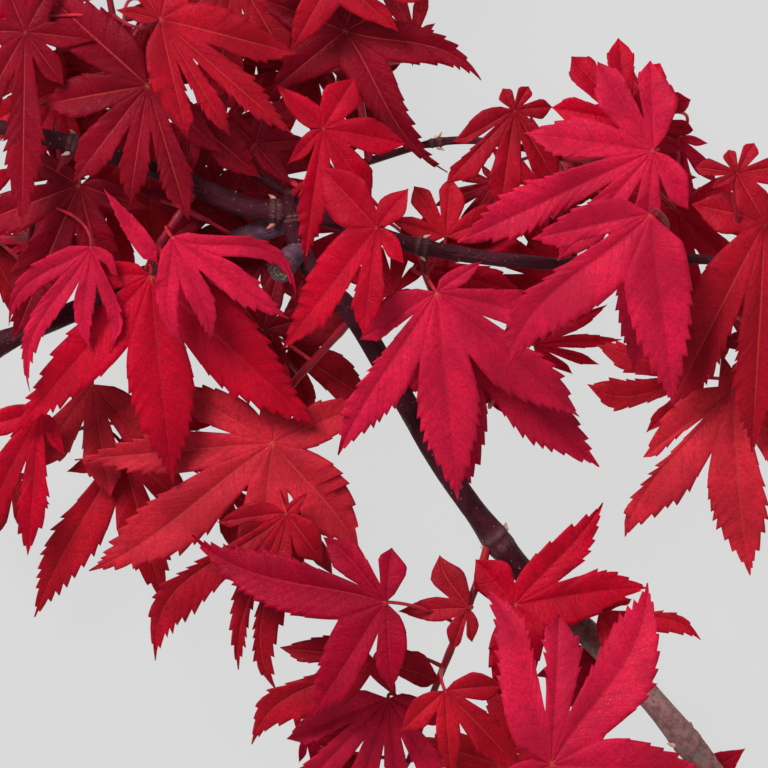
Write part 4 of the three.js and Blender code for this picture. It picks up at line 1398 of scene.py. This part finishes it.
def tube_faces(rows, sides):
    """The faces between rings of corners, and a fan at each end to the two corners after them."""
    low = rows * sides
    last = low - sides
    faces = []
    for side in range(sides):
        step = (side + 1) % sides
        faces += [[step, side, low], [last + side, last + step, low + 1]]
        for here in range(0, last, sides):
            faces.append([here + side, here + step, here + sides + step, here + sides + side])
    return faces


def end_rings(limb, route, share, depth, along):
    """The rings that close one end of a limb, from its last full ring outwards."""
    heading = route.tangent(share)
    radius = limb_radius(limb, share)
    rings = []
    for step in range(1, END_ROWS + 1):
        angle = math.pi / (2 * END_ROWS + 2) * step
        centre = route.at(share) + heading * depth * radius * math.sin(angle)
        rings.append((centre, heading, radius * math.cos(angle), along))
    return rings


def tube_rings(limb, spacing, start_depth, end_depth):
    """A limb's rings as (centre, heading, radius, length so far), and its whole length."""
    route = Route(limb["route"])
    length = route.length()
    count = max(LEAST_RINGS, int(length * MM / spacing))
    rings = end_rings(limb, route, 0, -start_depth, 0)[::-1]
    for ring in range(count + 1):
        share = ring / count
        rings.append((route.at(share), route.tangent(share), limb_radius(limb, share), share * length))
    return rings + end_rings(limb, route, 1, end_depth, length), length


def scar_height(limb, length, along):
    """The fine double ridge of the leaf scars at each node of a limb."""
    height = 0
    for place, _, _ in limb["rings"]:
        for ridge in SCAR_RIDGES:
            height += math.exp(-(((along - place * length - ridge) / SCAR_WIDTH) ** 2))
    return height


def bark_noise(run, x, y, along):
    around, lengthwise, shift = run
    return noise.noise(Vector((around * x, around * y, lengthwise * along + shift)))


def bark_tube(name, limb, sizes, old_reach, start_depth=ROUNDED, end_depth=ROUNDED):
    """A limb with its bark's relief as one closed skin."""
    rings, length = tube_rings(limb, sizes.ring_spacing, start_depth, end_depth)
    relief = sizes.bark_relief / MM
    old_end = old_reach / MM
    vertices = []
    places = []
    scars = []
    for centre, heading, radius, along in rings:
        across, over = across_of(heading)
        aged = 1 + OLD_ROUGHNESS * (1 - float(ramp(old_end - OLD_BLEND, old_end + OLD_BLEND, along)))
        ridges = scar_height(limb, length, along)
        for turn in turns_of(sizes.bark_sides):
            x = math.cos(turn)
            y = math.sin(turn)
            grain = bark_noise(GRAIN_RUN, x, y, along)
            rough = RIDGE_SHARE * bark_noise(RIDGE_RUN, x, y, along) + GRAIN_SHARE * grain
            height = relief * aged * rough + LUMP_SHARE * relief * bark_noise(LUMP_RUN, x, y, along)
            height += sizes.scar_height / MM * ridges
            vertices.append(centre + (across * x + over * y) * (radius + height))
            places.append((x * radius * MM, y * radius * MM, along * MM))
            scars.append(min(1, ridges * (SCAR_LEAST + grain)))
    for sign, (centre, heading, radius, along) in ((-1, rings[0]), (1, rings[-1])):
        vertices.append(centre + sign * heading * END_POINT * radius)
        places.append((0, 0, along * MM))
        scars.append(0)
    piece = mesh_object(name, vertices, tube_faces(len(rings), sizes.bark_sides))
    add_attribute(piece.data, "bark_place", "FLOAT_VECTOR", places)
    add_attribute(piece.data, "scar", "FLOAT", scars)
    return piece


def cut_face(name, centre, heading, radius, rough, seed):
    """A sawn end: a worn disc with growth rings, closed behind by a cone inside the wood."""
    across, over = across_of(heading)
    vertices = [centre]
    for ring in range(1, CUT_RINGS + 1):
        share = ring / CUT_RINGS
        for turn in turns_of(CUT_SIDES):
            x = math.cos(turn) * share
            y = math.sin(turn) * share
            lump = noise.noise(Vector((3 * x + seed, 3 * y, 0)))
            grain = noise.noise(Vector((11 * x, 11 * y, seed)))
            height = rough * (0.5 * lump + 0.4 * grain + 0.25 * math.sin(GROWTH_RINGS * share))
            height -= 0.5 * rough * share**6
            vertices.append(centre + radius * (across * x + over * y) + heading * height)
    back = len(vertices)
    vertices.append(centre - heading * radius * CUT_DEPTH)
    faces = []
    for side in range(CUT_SIDES):
        step = (side + 1) % CUT_SIDES
        faces.append([0, 1 + side, 1 + step])
        for ring in range(CUT_RINGS - 1):
            here = 1 + ring * CUT_SIDES
            outer = here + CUT_SIDES
            faces.append([here + side, outer + side, outer + step, here + step])
        faces.append([back - CUT_SIDES + step, back - CUT_SIDES + side, back])
    return mesh_object(name, vertices, faces)


def bud_form():
    """A winter bud a unit long: two pairs of overlapping scales drawn out to a point."""
    vertices = []
    for row in range(BUD_ROWS):
        share = row / BUD_ROWS
        for turn in turns_of(BUD_SIDES):
            pair = 0.5 + 0.5 * math.cos(2 * turn)
            radius = BUD_WIDTH * (1 - share) ** 0.75 * (0.55 + 1.5 * share * (1 - share))
            edge = BUD_SCALE_EDGE * math.copysign(1, pair - share) if 0.15 < share < 0.85 else 0
            vertices.append((math.cos(turn) * (radius + edge), math.sin(turn) * (radius + edge), share))
    mesh = bpy.data.meshes.new("bud_form")
    mesh.from_pydata([*vertices, (0, 0, -0.05), (0, 0, 1)], [], tube_faces(BUD_ROWS, BUD_SIDES))
    return link_piece("bud_form", mesh)


def bud_source(bud_length):
    """Loose points at the limbs' nodes, two a node, that carry each bud's aim and size."""
    draw = drawer(BUD_SEED)
    places = []
    aims = []
    sizes = []
    for limb in LIMBS.values():
        route = Route(limb["route"])
        for share, _, _ in limb["rings"]:
            heading = route.tangent(share)
            across, over = across_of(heading)
            turn = mix(*BUD_TURN, draw())
            side = across * math.cos(turn) + over * math.sin(turn)
            for out in (side, -side):
                foot = route.at(share) + out * (limb_radius(limb, share) - BUD_SINK)
                places.append((foot - CENTRE) * MM)
                aims.append(BUD_LEAN * out + heading)
                sizes.append(bud_length * mix(*BUD_PLAY, draw()))
    mesh = bpy.data.meshes.new("bud_points")
    mesh.from_pydata(places, [], [])
    add_attribute(mesh, "aim", "FLOAT_VECTOR", aims)
    add_attribute(mesh, "size", "FLOAT", sizes)
    return link_piece("bud_points", mesh)


# Settings
def number_of(label, use, default, **limits):
    return FloatProperty(name=label, description=use, default=default, min=0, **limits)


def length_of(label, use, default):
    return number_of(label, use, default, precision=5, unit="LENGTH")


def sides_of(use, default):
    return IntProperty(name="Sides", description=use, default=default, min=5, max=96)


def share_of(label, use, default):
    return number_of(label, use, default, max=1, subtype="FACTOR")


def power_of(label, use, default):
    return number_of(label, use, default, unit="POWER")


def colour_of(label, use, default):
    return FloatVectorProperty(
        name=label, description=use, default=default, size=3, min=0, max=1, subtype="COLOR"
    )


class WoodSettings(bpy.types.PropertyGroup):
    """Sizes and colours of the limbs, buds and lenticels."""

    ring_spacing: length_of("Ring spacing", "Distance between the rings of a limb's skin", 0.0006)
    bark_sides: sides_of("Faces around a limb", 44)
    bark_relief: length_of("Bark relief", "Height of the young bark's ridges", 0.00008)
    scar_height: length_of("Scar height", "Height of the leaf scars' ridges", 0.0002)
    bud_length: length_of("Bud length", "Length of a bud", 0.0019)
    lenticel_spacing: length_of("Lenticel spacing", "Least distance between lenticels", 0.0021)
    young_bark: colour_of("Young bark", "Purple-black bark of the young wood", (0.045, 0.004, 0.009))
    bloom: colour_of("Bloom", "Mauve waxy blotches of the young bark", (0.08, 0.014, 0.028))
    old_bark: colour_of("Old bark", "Purplish grey-brown bark of the oldest wood", (0.36, 0.17, 0.17))
    knob: colour_of("Knob", "Mauve-grey bark of the pruned stub", (0.17, 0.075, 0.115))
    scar: colour_of("Leaf scar", "Pale corky ridges at a node", (0.5, 0.3, 0.24))
    moss: colour_of("Bark film", "Grey-green film on old bark and on the cut", (0.2, 0.21, 0.15))
    heart: colour_of("Cut wood", "Weathered wood of the stub's cut", (0.1, 0.075, 0.045))
    heart_grain: colour_of("Cut grain", "Paler grain of the stub's cut", (0.36, 0.28, 0.19))
    fresh_wood: colour_of("Fresh wood", "Pale wood of the branch's cut end", (0.52, 0.37, 0.22))
    bud: colour_of("Bud", "Scales of a bud", (0.42, 0.14, 0.1))
    bud_edge: colour_of("Bud edge", "Pale margins of the bud scales", (0.75, 0.55, 0.42))
    lenticel: colour_of("Lenticel", "Corky lenticels of the bark", (0.19, 0.09, 0.09))


class LeafSettings(bpy.types.PropertyGroup):
    """Sizes and tints of the leaf blades."""

    blade_thickness: length_of("Blade thickness", "Thickness of a blade near its midribs", 0.0003)
    tooth_spacing: length_of("Tooth spacing", "Distance between the teeth of a margin", 0.0026)
    tooth_depth_share: share_of("Tooth depth", "A tooth's depth as a share of its lobe's length", 0.026)
    tooth_width_share: share_of("Tooth width", "Deepest tooth, as a share of the half lobe", 0.24)
    margin_wave: length_of("Margin wave", "How far a lobe's margin waves up and down", 0.0005)
    cushion_share: share_of("Cushion", "Rise beside the midrib, as a share of the half lobe", 0.06)
    vein_groove: length_of("Vein groove", "Depth of the groove along a midrib", 0.00012)
    vein_pucker: length_of("Vein pucker", "Rise of the blade between its side veins", 0.00008)
    # Wine: a darker copy of the leaves' red, as painted shade for leaves that lie in deep shade
    wine: colour_of("Wine", "Deep shaded leaves", (0.24, 0.002, 0.012))
    crimson: colour_of("Crimson", "Most of the leaves", (0.5, 0.001, 0.018))
    # Rose: partly the pinkish red of young leaves, partly painted sheen and light, also given to leaves
    # in shadow to lighten them
    rose: colour_of("Rose", "Pinkish young leaves", (0.6, 0.008, 0.045))
    plum: colour_of("Plum", "Purplish leaves", (0.35, 0.001, 0.02))
    scarlet: colour_of("Scarlet", "Bright red leaves", (0.52, 0.006, 0.02))
    # Ember: painted glow of light that shines through the leaves from behind
    ember: colour_of("Ember", "Orange-red leaves with light behind them", (0.56, 0.016, 0.032))
    brick: colour_of("Brick", "Dull red leaves", (0.4, 0.004, 0.016))
    # Russet: partly the brownish red of inner leaves, partly painted shade for leaves that lie behind
    # others
    russet: colour_of("Russet", "Brownish inner leaves", (0.36, 0.006, 0.016))


class StalkSettings(bpy.types.PropertyGroup):
    """Sizes and colours of the twigs, leaf-stalks and midribs."""

    stalk_radius: length_of("Stalk radius", "Radius of a leaf-stalk at its middle", 0.00036)
    rib_radius: length_of("Rib radius", "Radius of a midrib at the vein junction", 0.00026)
    sides: sides_of("Faces around a stalk or twig", 9)
    twig: colour_of("Twig", "Bark of the leafy twigs", (0.3, 0.005, 0.014))
    stalk: colour_of("Stalk", "Leaf-stalks", (0.5, 0.01, 0.026))
    stalk_shade: colour_of("Stalk shade", "Darker blotches of the leaf-stalks", (0.2, 0.008, 0.02))
    pale_rib: colour_of("Pale rib", "Orange midribs of the duller leaves", (0.36, 0.034, 0.026))
    dark_rib: colour_of("Dark rib", "Dark midribs of the brighter leaves", (0.3, 0.008, 0.02))
    spot: colour_of("Junction spot", "Orange spot where a leaf's midribs meet", (0.72, 0.2, 0.09))


# The tints are partly the leaves' own reds and partly painted light and shade: the wine and russet
# tints are darker copies for leaves in shade, the rose tint a lighter, pinker one for lit leaves and
# for leaves in shadow, and the ember tint paints light shining through a leaf
TINTS = ("wine", "crimson", "rose", "plum", "scarlet", "ember", "brick", "russet")
DARK_RIBBED = ("crimson", "rose", "plum")


class StageSettings(bpy.types.PropertyGroup):
    """Floor, lights and camera."""

    camera_height: length_of("Camera height", "From the camera to the middle of the crown", 3)
    focus_height: length_of("Middle height", "Height of the middle of the crown", 0.045)
    frame_width: length_of("Frame width", "What the camera sees at the middle of the crown", 0.1536)
    key_power: power_of("Key power", "Soft light from the upper left", 11.5)
    sky_strength: share_of("Sky strength", "Even light from all round", 0.46)
    floor_glow: share_of("Floor glow", "Light that the floor gives off", 0.665)
    floor: colour_of("Floor", "Pale floor", (0.03, 0.03, 0.03))


# How far the old bark goes from a limb's start, in metres, and the moss on the oldest wood
OLD_REACHES = {"main_stem": 0.038, "lower_left_limb": 0.012}
NO_OLD_BARK = -1.0
ALL_OLD_BARK = 1.0
MOSS_SHARE = 0.4
CUT_PROUD = 0.2
SPECKLED_LIMBS = ("main_stem", "left_limb", "right_limb", "lower_left_limb")
FIRST_LENTICEL_SEED = 5

# Twigs, stalks and midribs: points along one, and what lets them into the blades
TWIG_STEPS = 40
TWIG_NODES = 4
TWIG_SWELL = 0.16
STALK_STEPS = 22
STALK_SINK = 0.42
RIB_SIDES = 6
RIB_TAPER = 0.85
RIB_SINK = 0.8

# Lenticels: how many to a square of their spacing, and their least and largest sizes in metres
LENTICEL_CROWDING = 1.2
LEAST_LENTICEL = (0.00007, 0.00014, 0.00003)
LARGEST_LENTICEL = (0.00013, 0.00032, 0.00006)


# Operators, one for each group of like pieces
class MAPLE_OT_limbs(bpy.types.Operator):
    """Covers every limb and the pruned stub with bark, and finishes the sawn ends"""

    bl_idname = "maple.limbs"
    bl_label = "Limbs"

    def execute(self, context):
        wood = context.scene.maple_wood
        for name, limb in LIMBS.items():
            oldest = name == "main_stem"
            old_reach = OLD_REACHES.get(name, NO_OLD_BARK)
            piece = bark_tube(f"{name}_bark", limb, wood, old_reach, BLUNT if oldest else ROUNDED)
            old = wood.old_bark if oldest else wood.knob
            paint(piece, bark_finish(name, wood, old, old_reach, MOSS_SHARE if oldest else 0))
            take_part(piece, [name])
        stub = bark_tube("pruned_stub", STUB, wood, ALL_OLD_BARK, end_depth=BLUNT)
        paint(stub, bark_finish("pruned_stub", wood, wood.knob, ALL_OLD_BARK, 0))
        take_part(stub, ["main_stem"])
        weathered = cut_finish("weathered_cut", wood.heart, wood.heart_grain)
        fresh = cut_finish("fresh_cut", wood.fresh_wood, darker(wood.fresh_wood, 0.6))
        saw_end("stub_cut", STUB, 1, weathered, radius=2.15, rough=0.35, seed=3)
        saw_end("stem_cut", LIMBS["main_stem"], 0, fresh, radius=2.4, rough=0.12, seed=8)
        return {"FINISHED"}


def saw_end(name, limb, share, finish, **form):
    """Puts a sawn face on a limb's start, where the share is 0, or on its end, where it is 1."""
    route = Route(limb["route"])
    heading = route.tangent(share) * (2 * share - 1)
    piece = cut_face(name, route.at(share) + heading * CUT_PROUD, heading, **form)
    paint(piece, finish)
    take_part(piece, ["main_stem"])


class MAPLE_OT_buds(bpy.types.Operator):
    """Sets an opposite pair of buds at each node of the limbs"""

    bl_idname = "maple.buds"
    bl_label = "Buds"

    def execute(self, context):
        wood = context.scene.maple_wood
        form = bud_form()
        values = {"Bud form": form, "Material": shoot_finish("bud_scales", wood.bud, wood.bud_edge)}
        piece = grown_by(bud_source(wood.bud_length), bud_tree(), "buds", values)
        bpy.data.objects.remove(form)
        take_part(piece, LIMBS)
        return {"FINISHED"}


class MAPLE_OT_lenticels(bpy.types.Operator):
    """Strews lenticels over the bark of the limbs"""

    bl_idname = "maple.lenticels"
    bl_label = "Lenticels"

    def execute(self, context):
        wood = context.scene.maple_wood
        tree = strew_tree()
        values = {
            "Density": LENTICEL_CROWDING / wood.lenticel_spacing**2,
            "Spacing": wood.lenticel_spacing,
            "Smallest": LEAST_LENTICEL,
            "Largest": LARGEST_LENTICEL,
            "Material": shoot_finish("lenticels", wood.lenticel, wood.old_bark),
        }
        for number, name in enumerate(SPECKLED_LIMBS):
            source = link_piece(f"{name}_skin", bpy.data.objects[f"{name}_bark"].data.copy())
            values["Seed"] = FIRST_LENTICEL_SEED + number
            piece = grown_by(source, tree, f"{name}_lenticels", values)
            take_part(piece, [name])
        return {"FINISHED"}


class MAPLE_OT_twigs(bpy.types.Operator):
    """Grows the leafy twigs and the leaf-stalks along their paths"""

    bl_idname = "maple.twigs"
    bl_label = "Twigs and stalks"

    def execute(self, context):
        stalks = context.scene.maple_stalk
        twigs = []
        stems = []
        for name, leaves in crown().items():
            route = Route(SPRAYS[name]["stem"])
            twigs.append(twig_path(route, SPRAYS[name].get("stem_radius", STEM_RADIUS)))
            stems += [stalk_path(leaf, route, stalks.stalk_radius / MM) for leaf in leaves]
        tree = path_tree()
        for name, paths, finish, colour in (
            ("twigs", twigs, "twig_bark", stalks.twig),
            ("leaf_stalks", stems, "leaf_stalk", stalks.stalk),
        ):
            material = shoot_finish(finish, colour, stalks.stalk_shade)
            take_part(swept(tree, name, paths, stalks.sides, material), SPRAYS)
        return {"FINISHED"}


def twig_path(route, radii):
    """A leafy twig's places and radii, swollen between its nodes."""
    shares = np.linspace(0, 1, TWIG_STEPS)
    swell = 1 + TWIG_SWELL * np.exp(-(((shares * TWIG_NODES) % 1 - 0.5) / 0.1) ** 2)
    return [route.at(share) for share in shares], mix(*radii, shares) * swell


def stalk_path(leaf, route, radius):
    """A leaf-stalk's places and radii, swollen at both ends and let in under the blade."""
    places = stalk_points(leaf, route, STALK_STEPS)
    shares = np.linspace(0, 1, len(places))
    places[:, 2] -= STALK_SINK * smooth(shares)
    radii = radius * (1 + 0.45 * np.exp(-((shares / 0.08) ** 2)) + 0.25 * (shares > 0.97))
    return places, radii


def rib_path(line, radius):
    """A midrib's places and radii, let into the blade so that it shows on both sides."""
    kept = np.unique(np.append(np.arange(0, len(line), 2), len(line) - 1))
    places = line[kept].copy()
    gone = np.linalg.norm(places - places[0], axis=1)
    radii = radius * (1 - RIB_TAPER * (gone / gone[-1]))
    places[:, 2] -= RIB_SINK * radii
    return places, radii


class MAPLE_OT_blades(bpy.types.Operator):
    """Grows the toothed leaf blades, joined by their tints, and their midribs"""

    bl_idname = "maple.blades"
    bl_label = "Leaf blades"

    def execute(self, context):
        sizes = context.scene.maple_leaf
        stalks = context.scene.maple_stalk
        ribs = {"pale": [], "dark": []}
        rib_nodes = {"pale": set(), "dark": set()}
        for tint in TINTS:
            kind = "dark" if tint in DARK_RIBBED else "pale"
            tinted = {
                name: [leaf for leaf in leaves if leaf.tint == tint] for name, leaves in crown().items()
            }
            nodes = [name for name in tinted if tinted[name]]
            blades = [blade(leaf, sizes) for name in nodes for leaf in tinted[name]]
            rib_nodes[kind].update(nodes)
            for *_, lines in blades:
                ribs[kind] += [rib_path(line, stalks.rib_radius / MM) for line in lines]
            piece = mesh_object(f"{tint}_leaves", *joined(blades))
            vein = getattr(stalks, f"{kind}_rib")
            paint(piece, leaf_finish(tint, getattr(sizes, tint), vein, stalks.spot))
            take_part(piece, nodes)
        tree = path_tree()
        for kind, paths in ribs.items():
            colour = getattr(stalks, f"{kind}_rib")
            material = shoot_finish(f"{kind}_midrib", colour, darker(colour, 0.7))
            piece = swept(tree, f"{kind}_midribs", paths, RIB_SIDES, material)
            take_part(piece, sorted(rib_nodes[kind]))
        return {"FINISHED"}


def joined(blades):
    """Several blades' vertices, faces and maps as one mesh's."""
    faces = []
    count = 0
    for vertices, blade_faces, _, _ in blades:
        faces += [[corner + count for corner in face] for face in blade_faces]
        count += len(vertices)
    vertices = np.concatenate([part[0] for part in blades])
    return vertices, faces, np.concatenate([part[2] for part in blades])


# The stage, in metres from the middle of the crown
KEY_PLACE = (-0.42, 0.5, 0.78)
KEY_SIZE = 0.4
FILL_PLACE = (0.7, -0.1, 0.8)
FILL_SIZE = 0.8
FILL_SHARE = 0.15
FLOOR_HALF = 3.0
SENSOR = 36
CLIP_END = 20


class MAPLE_OT_stage(bpy.types.Operator):
    """Lays the pale floor and sets the soft lights and the camera that looks straight down"""

    bl_idname = "maple.stage"
    bl_label = "Stage"

    def execute(self, context):
        scene = context.scene
        stage = scene.maple_stage
        lay_floor(stage)
        middle = Vector((-CENTRE[0] * MM, -CENTRE[1] * MM, stage.focus_height))
        add_light("key_light", KEY_PLACE, middle, stage.key_power, KEY_SIZE)
        add_light("fill_light", FILL_PLACE, middle, stage.key_power * FILL_SHARE, FILL_SIZE)
        scene.world = bpy.data.worlds.new("pale_sky")
        scene.world.use_nodes = True
        sky = scene.world.node_tree.nodes["Background"].inputs
        sky["Color"].default_value = (1, 1, 1, 1)
        sky["Strength"].default_value = stage.sky_strength
        camera = bpy.data.cameras.new("camera")
        camera.sensor_width = SENSOR
        camera.lens = SENSOR * stage.camera_height / stage.frame_width
        camera.clip_end = CLIP_END
        scene.camera = link_piece("camera", camera)
        scene.camera.location = middle + Vector((0, 0, stage.camera_height))
        scene.view_settings.view_transform = "Standard"
        return {"FINISHED"}


def lay_floor(stage):
    """The pale floor, which gives off a little light."""
    mesh = bpy.data.meshes.new("floor")
    corners = ((-1, -1), (1, -1), (1, 1), (-1, 1))
    mesh.from_pydata([(x * FLOOR_HALF, y * FLOOR_HALF, 0) for x, y in corners], [], [(0, 1, 2, 3)])
    floor = link_piece("floor", mesh)
    values = {
        "Base Color": stage.floor,
        "Roughness": 0.9,
        "Specular IOR Level": 0,
        "Emission Color": (1, 1, 1),
        "Emission Strength": stage.floor_glow,
    }
    paint(floor, Finish("pale_floor", values).material)


def add_light(name, place, target, power, size):
    """A square soft light that faces a target."""
    light = bpy.data.lights.new(name, "AREA")
    light.energy = power
    light.size = size
    holder = link_piece(name, light)
    holder.location = place
    holder.rotation_euler = (target - Vector(place)).to_track_quat("-Z", "Y").to_euler()


# Panel and registration
class MAPLE_PT_panel(bpy.types.Panel):
    """Lists the pieces of the branch and their settings"""

    bl_idname = "MAPLE_PT_panel"
    bl_label = "Red Maple Branch"
    bl_space_type = "VIEW_3D"
    bl_region_type = "UI"
    bl_category = "Maple"

    def draw(self, context):
        for operator in OPERATORS:
            self.layout.operator(operator.bl_idname)
        for name in SETTINGS:
            box = self.layout.box()
            settings = getattr(context.scene, name)
            for key in settings.bl_rna.properties.keys():
                if key not in ("rna_type", "name"):
                    box.prop(settings, key)


OPERATORS = (
    MAPLE_OT_limbs,
    MAPLE_OT_buds,
    MAPLE_OT_lenticels,
    MAPLE_OT_twigs,
    MAPLE_OT_blades,
    MAPLE_OT_stage,
)
SETTINGS = {
    "maple_wood": WoodSettings,
    "maple_leaf": LeafSettings,
    "maple_stalk": StalkSettings,
    "maple_stage": StageSettings,
}


def register():
    for group in (*SETTINGS.values(), *OPERATORS, MAPLE_PT_panel):
        bpy.utils.register_class(group)
    for name, group in SETTINGS.items():
        setattr(bpy.types.Scene, name, PointerProperty(type=group))


def unregister():
    for name in SETTINGS:
        delattr(bpy.types.Scene, name)
    for group in (MAPLE_PT_panel, *reversed(OPERATORS), *SETTINGS.values()):
        bpy.utils.unregister_class(group)


def main():
    register()
    bpy.ops.maple.limbs()
    bpy.ops.maple.buds()
    bpy.ops.maple.lenticels()
    bpy.ops.maple.twigs()
    bpy.ops.maple.blades()
    bpy.ops.maple.stage()


if __name__ == "__main__":
    main()
